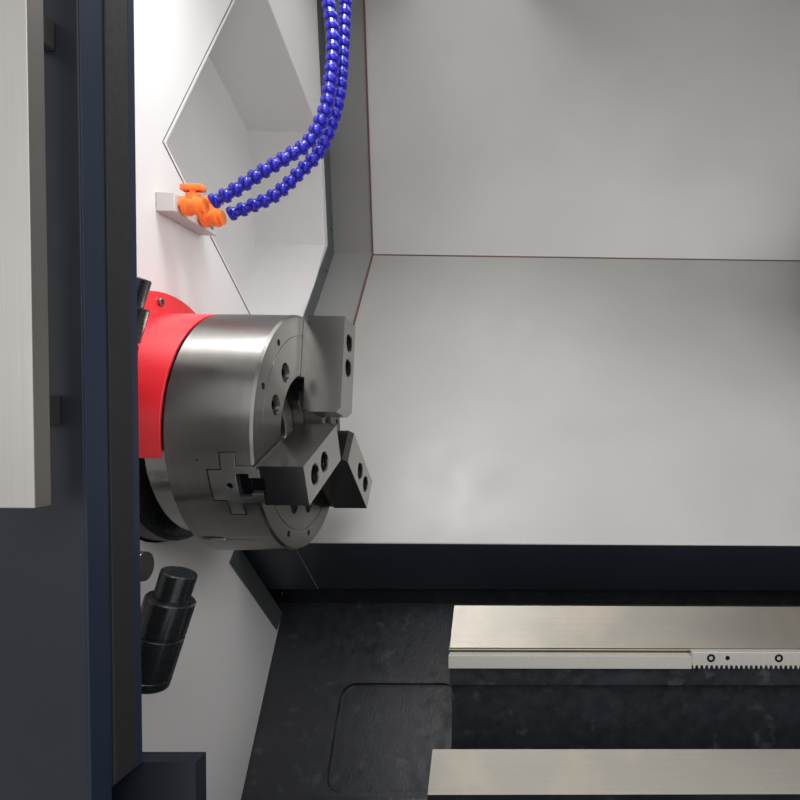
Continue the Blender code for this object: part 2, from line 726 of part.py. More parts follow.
def make_chuck():
    cavity_back = -CHUCK_LENGTH + CHUCK_BACK_WALL
    chuck = turned("chuck_body",
                   [(CHUCK_RADIUS - CHUCK_CHAMFER, 0.0), (CHUCK_RADIUS, -CHUCK_CHAMFER),
                    (CHUCK_RADIUS, -CHUCK_LENGTH + 0.001), (CHUCK_RADIUS - 0.001, -CHUCK_LENGTH),
                    (SPINDLE_BORE, -CHUCK_LENGTH), (SPINDLE_BORE, cavity_back),
                    (CHUCK_CAVITY_RADIUS, cavity_back), (CHUCK_CAVITY_RADIUS, -CHUCK_MOUTH_DEPTH),
                    (CHUCK_MOUTH_RADIUS, -CHUCK_MOUTH_DEPTH), (CHUCK_MOUTH_RADIUS, 0.0)], 64)
    for index in range(JAW_COUNT):
        slot = radial_prism("jaw_slot_%d" % index, master_outline(JAW_SLOT_CLEARANCE, 0.02),
                            (0.040, 0.160), index)
        cut(chuck, slot)
    register(chuck, "bright_steel")
    for index in range(JAW_COUNT):
        make_jaw(index)


def make_jaw(index):
    number = index + 1
    master = radial_prism("master_jaw_%d" % number, master_outline(0.0, MASTER_STAND),
                          (MASTER_INNER, MASTER_OUTER), index)
    slot = [(NUT_SLOT_NECK_HALF, 0.02), (NUT_SLOT_NECK_HALF, -NUT_SLOT_TOP),
            (NUT_SLOT_HALF, -NUT_SLOT_TOP), (NUT_SLOT_HALF, -NUT_SLOT_BOTTOM)]
    slot += [(-side, x) for side, x in reversed(slot)]
    cut(master, radial_prism("nut_slot_%d" % number, slot,
                             (MASTER_INNER - 0.01, MASTER_OUTER + 0.01), index))
    barrel = cylinder("jaw_barrel_%d" % number, CHUCK_RADIUS, (-CHUCK_LENGTH, MASTER_STAND * 2),
                      (0.0, 0.0), steps=64)
    combine(master, barrel, "INTERSECT")
    register(master, "bright_steel")

    base = MASTER_STAND + GAP
    top = base + TOP_JAW_HEIGHT
    half = TOP_JAW_WIDTH / 2
    outline = [(half, top), (half, base), (-half, base), (-half, top)]
    jaw = radial_prism("top_jaw_%d" % number, outline, (TOP_JAW_INNER, TOP_JAW_OUTER), index)
    edge = jaw.modifiers.new("edges", "BEVEL")
    edge.width = 0.0008
    edge.segments = 1
    edge.limit_method = "ANGLE"
    cut(jaw, tip_cutter(number, index))
    for position in TOP_JAW_BOLTS:
        hole = jaw_bore("bore_%d" % number, TOP_JAW_COUNTERBORE,
                        (top - COUNTERBORE_DEPTH, top + 0.01), position, index)
        cut(jaw, hole)
    nut = [(NUT_SLOT_NECK_HALF - GAP, base + 0.004), (NUT_SLOT_NECK_HALF - GAP, -NUT_SLOT_TOP - GAP),
           (NUT_SLOT_HALF - GAP, -NUT_SLOT_TOP - GAP), (NUT_SLOT_HALF - GAP, -NUT_SLOT_BOTTOM + GAP)]
    nut += [(-side, x) for side, x in reversed(nut)]
    join(jaw, radial_prism("nut_%d" % number, nut, (NUT_INNER, NUT_OUTER), index))
    register(jaw, "bright_steel")


def tip_cutter(number, index):
    """A wedge that takes the inner lower edge off a top jaw."""
    shape = bmesh.new()
    bmesh.ops.create_cube(shape, size=1.0)
    bmesh.ops.scale(shape, vec=(0.2, 0.1, TOP_JAW_TIP_CHAMFER * 2), verts=shape.verts)
    tip = mesh_object("tip_%d" % number, shape)
    tip.matrix_basis = Matrix.Translation(
        (MASTER_STAND + TOP_JAW_HEIGHT, -TOP_JAW_WIDTH / 2, SPINDLE_HEIGHT + TOP_JAW_INNER)
    ) @ Matrix.Rotation(radians(60), 4, "X")
    return place_jaw(tip, index)


def jaw_bore(name, radius, ends, position, index):
    """A round hole through a top jaw, along the spindle axis."""
    hole = cylinder(name, radius, ends, (0.0, position), steps=16)
    hole.matrix_basis = Matrix.Translation(hole.location) @ Matrix.Rotation(pi / 2, 4, "Y")
    return place_jaw(hole, index)


def make_drive():
    """Motor on the bed's front, its pulley, and the belt up to the spindle."""
    y, z = MOTOR_AXIS
    motor = cylinder("spindle_motor", MOTOR_RADIUS, MOTOR_X, MOTOR_AXIS, steps=24)
    foot = box("motor_foot", (MOTOR_X[0] + 0.040, y, z - MOTOR_RADIUS * 0.8),
               (MOTOR_X[1] - 0.040, BED_FRONT - GAP, z + MOTOR_RADIUS * 0.8))
    shaft = cylinder("motor_shaft", MOTOR_SHAFT_RADIUS, (PULLEY_X[0], MOTOR_X[0] + 0.01),
                     MOTOR_AXIS, steps=16)
    join(motor, foot, shaft)
    register(motor, "cast")
    pulley = turned("motor_pulley", [(MOTOR_PULLEY_RADIUS, PULLEY_X[1] - 0.001),
                                     (MOTOR_PULLEY_RADIUS, PULLEY_X[0]),
                                     (MOTOR_SHAFT_RADIUS + GAP, PULLEY_X[0]),
                                     (MOTOR_SHAFT_RADIUS + GAP, PULLEY_X[1] - 0.001)],
                    24, MOTOR_AXIS)
    register(pulley, "ground_steel")

    distance = hypot(y, z)
    along = atan2(z, y)
    lean = pi / 2 + (PULLEY_RADIUS - MOTOR_PULLEY_RADIUS) / distance
    loops = []
    for extra in (GAP * 2 + BELT_THICKNESS, GAP * 2):
        loop = []
        for step in range(17):
            angle = along + lean - 0.06 + (2 * pi - 2 * lean + 0.12) * step / 16
            loop.append(((PULLEY_RADIUS + extra) * cos(angle), (PULLEY_RADIUS + extra) * sin(angle)))
        for step in range(13):
            angle = along - lean + 0.10 + (2 * lean - 0.20) * step / 12
            loop.append((y + (MOTOR_PULLEY_RADIUS + extra) * cos(angle),
                         z + (MOTOR_PULLEY_RADIUS + extra) * sin(angle)))
        loops.append(loop)
    belt = section("drive_belt", loops, (PULLEY_X[0] + BELT_EDGE, PULLEY_X[1] - BELT_EDGE))
    register(belt, "belt")


def wall_outline(bottom):
    """The outline shared by both end walls of the working area, above their lower edge."""
    ridge = offset_path(COVER_PATH, 0.0)
    return [(WALL_FRONT, WALL_TOP), (COVER_TOP[0] - 0.011, WALL_TOP), ridge[0], ridge[1],
            ridge[2]] + bottom


def make_walls():
    foot = Vector(PLATEAU_FOOT)
    corner = Vector(PLATEAU_CORNER)
    lift = Vector((-0.001, 0.0007))
    bottom = [tuple(corner + lift), tuple(foot + lift), (BED_FRONT - 0.001, FRONT_FACE_TOP + 0.0007),
              (BED_FRONT - 0.001, WALL_BOTTOM - 0.1), (WALL_FRONT, WALL_BOTTOM - 0.1)]
    wall = section("headstock_wall", [wall_outline(bottom)], (WALL_X - WALL_SHEET, WALL_X))
    pan = section("recess_pan", [grow(RECESS, WALL_SHEET)],
                  (WALL_X - RECESS_DEPTH - WALL_SHEET, WALL_X - WALL_SHEET / 2))
    hollow = section("recess_hollow", [RECESS], (WALL_X - RECESS_DEPTH, WALL_X + 0.05))
    join(wall, pan)
    cut(wall, hollow, cylinder("cap_hole", CAP_RADIUS + 0.002, (WALL_X - 0.02, WALL_X + 0.02),
                               (0.0, 0.0), steps=40))
    upper_flange = cylinder("upper_flange", STEM_FLANGE, (WALL_X - WALL_SHEET / 2, WALL_X + 0.008),
                            (LAMP_Y, UPPER_LAMP_PIVOT[1] + STEM_RISE), steps=24)
    upper_tube = cylinder("upper_tube", STEM_RADIUS,
                          (WALL_X + 0.006, UPPER_LAMP_PIVOT[0] - LAMP_RADIUS - GAP),
                          (LAMP_Y, UPPER_LAMP_PIVOT[1] + STEM_RISE), steps=16)
    join(wall, upper_flange, upper_tube)
    register(wall, "wall_paint")

    way = slant(REAR_WAY_ALONG[0], 0.0)
    way_back = slant(REAR_WAY_ALONG[1], 0.0)
    front = slant(FRONT_WAY_ALONG[0], 0.0)
    front_back = slant(FRONT_WAY_ALONG[1], 0.0)
    bottom = [(way_back[0], way_back[1] + 0.002), (way[0] - 0.001, way[1]),
              (way[0] - 0.001, way[1] - REAR_WAY_FLANK), (front_back[0], front_back[1] + 0.002),
              (front[0] - 0.002, front[1]), (front[0] - 0.002, WALL_BOTTOM), (WALL_FRONT, WALL_BOTTOM)]
    tail = section("tail_wall", [wall_outline(bottom)], (TAIL_WALL_X, TAIL_WALL_X + WALL_SHEET))
    register(tail, "wall_paint")


def make_covers():
    strip = section("wiper_strip", [sheet_section(COVER_PATH, 0.0, -STRIP_SHEET)],
                    (WALL_X + GAP, STRIP_END_X))
    register(strip, "cover_paint")
    near = -STRIP_SHEET - GAP
    outline = sheet_section(COVER_PATH, near, near - COVER_SHEET)
    register(section("left_cover", [outline], LEFT_COVER_X), "cover_paint")
    register(section("right_cover", [outline], RIGHT_COVER_X), "cover_paint")


def make_carriage():
    saddle = slanted_box("saddle", SADDLE_FOOT_ALONG, SADDLE_FOOT_ABOVE, SADDLE_FOOT_X)
    upper = [slant(SADDLE_ALONG[0], 0.020), slant(SADDLE_FOOT_ALONG[0] + 0.010, 0.020),
             slant(SADDLE_FOOT_ALONG[1] - 0.010, 0.020), slant(SADDLE_ALONG[1], 0.080),
             slant(SADDLE_ALONG[1], SADDLE_TOP), slant(SADDLE_ALONG[0], SADDLE_TOP)]
    join(saddle, section("saddle_top", [upper], SADDLE_X))
    for index, along in enumerate(RAIL_ALONG):
        half = RAIL_WIDTH / 2 + 0.001
        cut(saddle, slanted_box("rail_groove_%d" % index, (along - half, along + half),
                                (SADDLE_FOOT_ABOVE[0] - 0.01,
                                 BED_TOP_ABOVE + RAIL_HEIGHT + 2 * GAP),
                                (SADDLE_FOOT_X[0] - 0.01, SADDLE_FOOT_X[1] + 0.01)))
    cut(saddle, cylinder("nut_bore", (SCREW_RADIUS + GAP) / cos(pi / SCREW_STEPS),
                         (SADDLE_FOOT_X[0] - 0.01, SADDLE_FOOT_X[1] + 0.01),
                         slant(SCREW_ALONG, SCREW_ABOVE), steps=SCREW_STEPS))
    register(saddle, "cast")
    screw = cylinder("z_screw", SCREW_RADIUS, (SCREW_BLOCKS[0][0] + 0.005, SCREW_BLOCKS[1][1] + 0.02),
                     slant(SCREW_ALONG, SCREW_ABOVE), steps=SCREW_STEPS)
    register(screw, "ground_steel")
    half = SERVO_SIZE / 2
    start = SCREW_BLOCKS[1][1] + 0.02 + GAP
    servo = slanted_box("z_servo", (SCREW_ALONG - half, SCREW_ALONG + half),
                        (BED_TOP_ABOVE + GAP, BED_TOP_ABOVE + GAP + SERVO_SIZE),
                        (start, start + SERVO_LENGTH))
    register(servo, "black")

    slide = slanted_box("cross_slide", CROSS_ALONG, (SADDLE_TOP + GAP, SADDLE_TOP + CROSS_HEIGHT),
                        CROSS_X)
    register(slide, "ground_steel")
    axis = slant(TURRET_ALONG, WAY_DROP)
    body = cylinder("turret_body", TURRET_BODY_RADIUS, TURRET_BODY_X, axis, steps=32)
    join(body, slanted_box("turret_foot", (TURRET_ALONG - TURRET_BODY_RADIUS,
                                           TURRET_ALONG + TURRET_BODY_RADIUS),
                           (SADDLE_TOP + CROSS_HEIGHT + GAP, WAY_DROP),
                           (CROSS_X[0], TURRET_BODY_X[1] - 0.004)))
    register(body, "cast")
    make_turret_disc(axis)


def make_turret_disc(axis):
    """A twelve-sided tool disc with a slot on each side and a boss in the middle."""
    flats = ring_points(TURRET_DISC_RADIUS, TURRET_STATIONS, axis, pi / TURRET_STATIONS)
    disc = section("turret_disc", [flats], TURRET_DISC_X)
    join(disc, cylinder("disc_boss", 0.055, (TURRET_DISC_X[0] - 0.008, TURRET_DISC_X[0] + 0.01),
                        axis, steps=24))
    for station in range(TURRET_STATIONS):
        angle = 2 * pi * station / TURRET_STATIONS
        reach = TURRET_DISC_RADIUS * cos(pi / TURRET_STATIONS)
        centre = (axis[0] + reach * cos(angle), axis[1] + reach * sin(angle))
        slot = box("station_%d" % station, (-0.014, -0.013, -0.010), (0.014, 0.013, 0.010))
        slot.rotation_euler = (angle, 0, 0)
        slot.location = (TURRET_DISC_X[0] + 0.012, centre[0], centre[1] + SPINDLE_HEIGHT)
        cut(disc, slot)
    register(disc, "bright_steel")


def make_tailstock():
    outline = [slant(FRONT_WAY_ALONG[0] - 0.006, GAP), slant(FRONT_WAY_ALONG[1] + 0.002, GAP),
               slant(FRONT_WAY_ALONG[1] + 0.006, RACK_RELIEF),
               slant(REAR_WAY_ALONG[0] - 0.005, RACK_RELIEF), slant(REAR_WAY_ALONG[0], GAP),
               slant(REAR_WAY_ALONG[1] + 0.008, GAP),
               slant(REAR_WAY_ALONG[1] + 0.004, 0.100), slant(-0.050, 0.175),
               slant(TAIL_BARREL * 0.8, WAY_DROP - 0.060), slant(TAIL_BARREL, WAY_DROP - 0.020),
               slant(TAIL_BARREL, WAY_DROP + 0.030), slant(0.020, WAY_DROP + 0.055),
               slant(-0.030, WAY_DROP + 0.055), slant(-0.065, WAY_DROP + 0.020),
               slant(-0.200, 0.080), slant(FRONT_WAY_ALONG[0] - 0.006, 0.045)]
    body = section("tailstock_body", [outline], TAIL_X)
    cut(body, cylinder("quill_bore", QUILL_RADIUS + GAP, (TAIL_X[0] - 0.01, TAIL_X[1] + 0.01),
                       (0.0, 0.0), steps=24))
    register(body, "cast")
    quill = turned("tailstock_quill", [(QUILL_RADIUS, QUILL_X[1]), (QUILL_RADIUS, QUILL_X[0] + 0.002),
                                       (QUILL_RADIUS - 0.002, QUILL_X[0]),
                                       (CENTRE_SHANK + GAP, QUILL_X[0]),
                                       (CENTRE_SHANK + GAP, QUILL_X[1])], 24)
    register(quill, "bright_steel")
    shank_end = CENTRE_BODY_X[1] + CENTRE_SHANK_LENGTH
    centre = turned("live_centre", [(0.0, shank_end), (CENTRE_SHANK, shank_end),
                                    (CENTRE_SHANK, CENTRE_BODY_X[1]),
                                    (CENTRE_RADIUS, CENTRE_BODY_X[1]),
                                    (CENTRE_RADIUS, CENTRE_BODY_X[0]),
                                    (CENTRE_SHANK, CENTRE_BODY_X[0] - 0.006), (0.0, CENTRE_TIP_X)], 24)
    register(centre, "bright_steel")


def make_guard():
    flange_x = WALL_X + GAP + GUARD_SHEET
    guard = turned("chuck_guard", [(GUARD_RADIUS, GUARD_END_X), (GUARD_RADIUS, flange_x),
                                   (GUARD_FLANGE, flange_x), (GUARD_FLANGE, WALL_X + GAP),
                                   (GUARD_RADIUS - GUARD_SHEET, WALL_X + GAP),
                                   (GUARD_RADIUS - GUARD_SHEET, GUARD_END_X)], 64)
    reach = 2 * GUARD_FLANGE
    lower = box("guard_lower", (WALL_X - GUARD_SHEET, -reach, -reach), (0.0, reach, GUARD_LOWER_EDGE))
    cut(guard, lower)
    register(guard, "guard_paint")


def smooth_route(points, spacing):
    """Evenly spaced points on a smooth curve through a route's own points."""
    fine = []
    for i in range(len(points) - 1):
        before = Vector(points[max(i - 1, 0)])
        start = Vector(points[i])
        end = Vector(points[i + 1])
        after = Vector(points[min(i + 2, len(points) - 1)])
        for step in range(12):
            t = step / 12
            fine.append(0.5 * (2 * start + (end - before) * t
                               + (2 * before - 5 * start + 4 * end - after) * t ** 2
                               + (3 * start - before - 3 * end + after) * t ** 3))
    fine.append(Vector(points[-1]))
    even = [fine[0]]
    travelled = 0.0
    for before, here in zip(fine, fine[1:]):
        length = (here - before).length
        while travelled + length >= spacing:
            part = (spacing - travelled) / length
            before = before.lerp(here, part)
            even.append(before)
            length = (here - before).length
            travelled = 0.0
        travelled += length
    return even


def make_hose(number, route):
    """A posable hose of ball-shaped links on its tap, ending in a tapered nozzle."""
    even = smooth_route(route, LINK_PITCH / 2)
    tap = int(VALVE_LENGTH / (LINK_PITCH / 2))
    curve = bpy.data.curves.new("coolant_hose_%d" % number, "CURVE")
    curve.dimensions = "3D"
    curve.bevel_depth = HOSE_RADIUS
    curve.bevel_resolution = 1
    curve.use_fill_caps = True
    spline = curve.splines.new("POLY")
    spline.points.add(len(even) - 1)
    last = len(even) - 1
    for index, (point, place) in enumerate(zip(spline.points, even)):
        point.co = (*(place + Vector((0, 0, SPINDLE_HEIGHT))), 1)
        if index <= tap:
            point.radius = VALVE_BODY / HOSE_RADIUS
        elif last - index < 3:
            point.radius = (0.4, 0.55, 0.75)[last - index]
        else:
            point.radius = 1.0 if index % 2 else HOSE_NECK
    hose = bpy.data.objects.new("coolant_hose_%d" % number, curve)
    machine.objects.link(hose)
    hose = register(to_mesh(hose), "hose")
    seat = even[2].z + VALVE_BODY * cos(pi / 6) + VALVE_SLOPE
    knob = cylinder("valve_%d" % number, VALVE_STEM, (seat, seat + VALVE_STEM * 1.5),
                    (even[2].x, even[2].y), "Z", 12)
    half_length, half_width = (side / 2 for side in VALVE_KNOB)
    top = box("knob_%d" % number,
              (even[2].x - half_length, even[2].y - half_width, seat + VALVE_STEM),
              (even[2].x + half_length, even[2].y + half_width,
               seat + VALVE_STEM + VALVE_KNOB_HEIGHT))
    join(knob, top)
    register(knob, "valve")


def make_coolant():
    block = box("coolant_block", (WALL_X + GAP, BLOCK_Y[0], BLOCK_Z[0]),
                (WALL_X + BLOCK_DEPTH - GAP, BLOCK_Y[1], BLOCK_Z[1]))
    edge = block.modifiers.new("edges", "BEVEL")
    edge.width = 0.002
    edge.segments = 2
    register(block, "black")
    for index, route in enumerate(HOSE_ROUTES):
        make_hose(index + 1, route)


def lamp_stem(name, pivot):
    """A round flange on the wall with a tube that ends beside a lamp's tilt line."""
    x, z = pivot
    centre = (LAMP_Y, z + STEM_RISE)
    stem = cylinder(name, STEM_FLANGE, (WALL_X + GAP, WALL_X + 0.008), centre, steps=24)
    tube = cylinder(name + "_tube", STEM_RADIUS, (WALL_X + 0.006, x - LAMP_RADIUS - GAP),
                    centre, steps=16)
    return join(stem, tube)


def lamp_head(name, pivot):
    """A tilted lamp barrel with a collar on top and a ring groove."""
    head = cylinder(name, LAMP_RADIUS, (-LAMP_LENGTH, 0.0), (0.0, 0.0), "Z", 24)
    collar = cylinder(name + "_collar", 0.016, (-0.004, 0.014), (0.0, 0.0), "Z", 16)
    groove = turned(name + "_groove", [(LAMP_RADIUS + 0.01, -0.022), (LAMP_RADIUS + 0.01, -0.025),
                                       (LAMP_RADIUS - 0.002, -0.025),
                                       (LAMP_RADIUS - 0.002, -0.022)], 24)
    groove.rotation_euler = (0, 0, 0)
    groove.location = (0, 0, SPINDLE_HEIGHT)
    join(head, collar)
    cut(head, groove)
    holder = bpy.data.objects.new(name + "_pivot", None)
    machine.objects.link(holder)
    holder.location = (pivot[0], LAMP_Y, pivot[1] + SPINDLE_HEIGHT)
    holder.rotation_euler = (0, radians(LAMP_TILT), 0)
    for piece in (head, collar, groove):
        piece.location.z -= SPINDLE_HEIGHT
        piece.parent = holder
    register(head, "black")


def make_lamps():
    register(lamp_stem("lamp_stem", LAMP_PIVOT), "stainless")
    lamp_head("lamp_head", LAMP_PIVOT)
    lamp_head("upper_lamp", UPPER_LAMP_PIVOT)


def make_trims():
    """Dark strips screwed over the wall's edge beside the wiper strip."""
    run = (COVER_TOP, COVER_RIDGE, COVER_FOLD)
    outline = sheet_section(run, TRIM_WIDTH, 0.001)
    low = WALL_X + 2 * GAP
    upper = section("upper_trim", [outline], (low, low + TRIM_SHEET))
    register(upper, "dark_paint")
    run = (COVER_FOLD, (PLATEAU_CORNER[0] - 0.004, PLATEAU_CORNER[1] + 0.004))
    outline = sheet_section(run, TRIM_WIDTH, 0.001)
    lower = section("lower_trim", [outline], (low, low + TRIM_SHEET))
    register(lower, "dark_paint")


def make_front():
    bottom = SKIRT_BOTTOM
    outline = [(LEFT_END, bottom), (RIGHT_END, bottom), (RIGHT_END, ROOF_HEIGHT - GAP),
               (LEFT_END, ROOF_HEIGHT - GAP)]
    back = FRONT_FACE + SHEET
    panel = front_plate("front_panel", [outline, OPENING], (FRONT_FACE, back))
    lip = front_plate("opening_lip", [grow(list(reversed(OPENING)), SHEET), OPENING],
                      (FRONT_FACE + SHEET / 2, back + OPENING_FLANGE))
    join(panel, lip)
    lower = DOOR_Z[0] - GAP
    upper = DOOR_Z[1] + GAP
    join(panel, box("lower_track", (TRACK_X[0], DOOR_OUTER, lower - TRACK_HEIGHT),
                    (TRACK_X[1], FRONT_FACE + SHEET / 2, lower)),
         box("upper_track", (TRACK_X[0], DOOR_OUTER, upper),
             (TRACK_X[1], FRONT_FACE + SHEET / 2, upper + TRACK_HEIGHT)))
    for index, z in enumerate(PANEL_Z):
        side = -1 if index == 0 else 1
        start = z + side * GAP
        lug = box("lug_%d" % index, (PANEL_HINGE[0] - LUG_SIZE / 2, PANEL_HINGE[1] - LUG_SIZE / 2,
                                     min(start, start + side * LUG_SIZE)),
                  (PANEL_HINGE[0] + LUG_SIZE / 2, FRONT_FACE + SHEET / 2,
                   max(start, start + side * LUG_SIZE)))
        join(panel, lug)
    register(panel, "wall_paint")


def make_door():
    x0, x1 = DOOR_X
    z0, z1 = DOOR_Z
    window = [(WINDOW_X[0], WINDOW_Z[0]), (WINDOW_X[0], WINDOW_Z[1]), (WINDOW_X[1], WINDOW_Z[1]),
              (WINDOW_X[1], WINDOW_Z[0])]
    skin = [(x0, z0), (x1, z0), (x1, z1), (x0, z1)]
    door = front_plate("door_panel", [skin, window], (DOOR_OUTER, DOOR_OUTER + DOOR_SKIN))
    width = DOOR_FRAME_WIDTH
    frame = [(x0, DOOR_FRAME_BOTTOM), (x1, DOOR_FRAME_BOTTOM), (x1, z1), (x0, z1)]
    inside = [(x0 + width, DOOR_FRAME_BOTTOM + width), (x1 - width, DOOR_FRAME_BOTTOM + width),
              (x1 - width, z1 - width), (x0 + width, z1 - width)]
    join(door, front_plate("door_frame", [frame, inside], (DOOR_OUTER + DOOR_SKIN / 2, DOOR_INNER)))
    seat = box("glass_seat", (WINDOW_X[0] - 0.015, DOOR_OUTER + DOOR_SKIN - GLASS, WINDOW_Z[0] - 0.015),
               (WINDOW_X[1] + 0.015, DOOR_OUTER + DOOR_SKIN + 0.002, WINDOW_Z[1] + 0.015))
    cut(door, seat)
    register(door, "dark_paint")
    glass = box("door_window",
                (WINDOW_X[0] - 0.015 + GAP, DOOR_OUTER + DOOR_SKIN - GLASS + GAP,
                 WINDOW_Z[0] - 0.015 + GAP),
                (WINDOW_X[1] + 0.015 - GAP, DOOR_OUTER + DOOR_SKIN, WINDOW_Z[1] + 0.015 - GAP))
    register(glass, "glass")
    make_handle()


def make_handle():
    """A folded channel with its open side to the door, on two brackets."""
    x0, x1 = HANDLE_X
    front = HANDLE_FRONT
    back = front + HANDLE_DEPTH
    sheet = HANDLE_SHEET
    outline = [(x0, front), (x1, front), (x1, back), (x1 - sheet, back), (x1 - sheet, front + sheet),
               (x0 + sheet, front + sheet), (x0 + sheet, back), (x0, back)]
    handle = flat_outline("door_handle", [outline], HANDLE_Z[1] - HANDLE_Z[0])
    handle.location = (0, 0, SPINDLE_HEIGHT + sum(HANDLE_Z) / 2)
    for index, (z0, z1) in enumerate(HANDLE_BRACKETS):
        join(handle, box("bracket_%d" % index, (HANDLE_BRACKET_X[0], front + sheet / 2, z0),
                         (HANDLE_BRACKET_X[1], DOOR_OUTER - GAP, z1)))
    register(handle, "stainless")


def make_panels():
    """Roof, back, both ends and the pan under the chips."""
    roof = box("roof", (LEFT_END, FRONT_FACE, ROOF_HEIGHT),
               (RIGHT_END, ROOF_DEPTH, ROOF_HEIGHT + SHEET))
    register(roof, "wall_paint")
    path = ((ROOF_DEPTH, ROOF_HEIGHT - GAP), (REAR_FACE, REAR_SHOULDER), (REAR_FACE, SKIRT_BOTTOM))
    rear = section("rear_cover", [sheet_section(path, 0.0, SHEET)],
                   (LEFT_END + GAP, RIGHT_END - GAP))
    register(rear, "wall_paint")
    inner = REAR_FACE
    profile = [(FRONT_FACE + SHEET + GAP, SKIRT_BOTTOM), (inner - 2 * SHEET, SKIRT_BOTTOM),
               (inner - 2 * SHEET, REAR_SHOULDER - 0.001), (ROOF_DEPTH - 0.004, ROOF_HEIGHT - GAP),
               (FRONT_FACE + SHEET + GAP, ROOF_HEIGHT - GAP)]
    margin = DRAWER_FRONT_MARGIN / 3
    below = SKIRT_BOTTOM - DRAWER_FRONT_MARGIN
    hatch = [(DRAWER_Y[0] - margin, below), (DRAWER_Y[0] - margin, DRAWER_TOP + margin),
             (DRAWER_Y[1] + margin, DRAWER_TOP + margin), (DRAWER_Y[1] + margin, below)]
    end = section("right_end_cover", [profile], (RIGHT_END - SHEET - GAP, RIGHT_END - GAP))
    hatch_tool = section("hatch", [hatch], (RIGHT_END - 0.02, RIGHT_END + 0.02))
    cut(end, hatch_tool)
    register(end, "wall_paint")

    door = section("cabinet_door", [profile], (LEFT_END - SHEET - GAP, LEFT_END - GAP))
    register(door, "wall_paint")
    pan = box("base_pan", (LEFT_END + 0.002, FRONT_FACE + SHEET + GAP, PAN_Z),
              (RIGHT_END - 2 * SHEET, BED_FRONT - GAP, PAN_Z + SHEET))
    register(pan, "dark_paint")


def make_drawer():
    x0, x1 = DRAWER_START, RIGHT_END - SHEET
    y0, y1 = DRAWER_Y
    z0, z1 = PAN_Z + SHEET + GAP, DRAWER_TOP
    drawer = box("chip_drawer", (x0, y0, z0), (x1, y1, z1))
    cut(drawer, box("drawer_hollow", (x0 + SHEET, y0 + SHEET, z0 + SHEET),
                    (x1 - SHEET, y1 - SHEET, z1 + 0.05)))
    margin = DRAWER_FRONT_MARGIN
    face = box("drawer_face", (RIGHT_END + GAP, y0 - margin, z0 + 0.002),
               (RIGHT_END + GAP + SHEET, y1 + margin, z1 + margin))
    neck = box("drawer_neck", (x1 - SHEET / 2, y0 + 0.010, z0 + 0.010),
               (RIGHT_END + GAP + SHEET / 2, y1 - 0.010, z1 - 0.010))
    middle = (y0 + y1) / 2
    pull = box("drawer_pull", (RIGHT_END, middle - PULL_WIDTH / 2, z1 - PULL_DEPTH - PULL_HEIGHT),
               (RIGHT_END + PULL_DEPTH, middle + PULL_WIDTH / 2, z1 - PULL_DEPTH))
    join(drawer, neck, face, pull)
    register(drawer, "dark_paint")


def make_control_panel():
    panel = box("control_panel", (PANEL_X[0], PANEL_Y[0], PANEL_Z[0]),
                (PANEL_X[1], PANEL_Y[1], PANEL_Z[1]))
    edge = panel.modifiers.new("edges", "BEVEL")
    edge.width = 0.006
    edge.segments = 2
    hinge_x, hinge_y = PANEL_HINGE
    pin = cylinder("panel_pin", HINGE_PIN, (PANEL_Z[0], PANEL_Z[1]), PANEL_HINGE, "Z", 16)
    arm = box("panel_arm", (PANEL_X[1] - 0.03, PANEL_Y[1] - 0.030, PANEL_Z[0] + 0.05),
              (hinge_x, hinge_y + 0.004, PANEL_Z[1] - 0.05))
    screen = box("screen_recess", (SCREEN_X[0], PANEL_Y[0] - 0.02, SCREEN_Z[0]),
                 (SCREEN_X[1], PANEL_Y[0] + 0.004, SCREEN_Z[1]))
    join(panel, arm, pin)
    cut(panel, screen)
    for name, (x, z), radius, travel in (("e_stop", E_STOP, 0.011, 0.004),
                                         ("start", START, 0.011, 0.003)):
        cut(panel, cylinder(name + "_hole", radius + GAP, (PANEL_Y[0] - 0.01, PANEL_Y[0] + 0.012),
                            (x, z), "Y", 24))
    register(panel, "dark_paint")

    x, z = E_STOP
    stop = cylinder("e_stop_button", 0.020, (PANEL_Y[0] - 0.024, PANEL_Y[0] - 0.006), (x, z), "Y", 24)
    join(stop, cylinder("stop_stem", 0.011, (PANEL_Y[0] - 0.008, PANEL_Y[0] + 0.006), (x, z), "Y", 24))
    register(stop, "stop_red")
    x, z = START
    start = cylinder("start_button", 0.011, (PANEL_Y[0] - 0.005, PANEL_Y[0] + 0.006), (x, z), "Y", 24)
    register(start, "start_green")
    x, z = HANDWHEEL
    wheel = cylinder("handwheel", HANDWHEEL_RADIUS, (PANEL_Y[0] - 0.014, PANEL_Y[0] - GAP), (x, z),
                     "Y", 32)
    join(wheel, cylinder("crank", 0.006, (PANEL_Y[0] - 0.036, PANEL_Y[0] - 0.010),
                         (x + HANDWHEEL_RADIUS * 0.68, z), "Y", 12))
    register(wheel, "black")


make_bed()
make_rack()
make_rails()
make_headstock()
make_spindle()
make_chuck()
make_drive()
make_walls()
make_covers()
make_carriage()
make_tailstock()
make_guard()
make_coolant()
make_lamps()
make_trims()
make_front()
make_door()
make_panels()
make_drawer()
make_control_panel()
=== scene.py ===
"""Looks for a slant-bed CNC turning lathe, seen through its open front door.

Metres, +Z up.  X runs along the spindle towards the tailstock and Y towards the back.
"""

import json
from math import cos, pi, radians, sin, tau

import bmesh
import bpy
from mathutils import Matrix, Vector


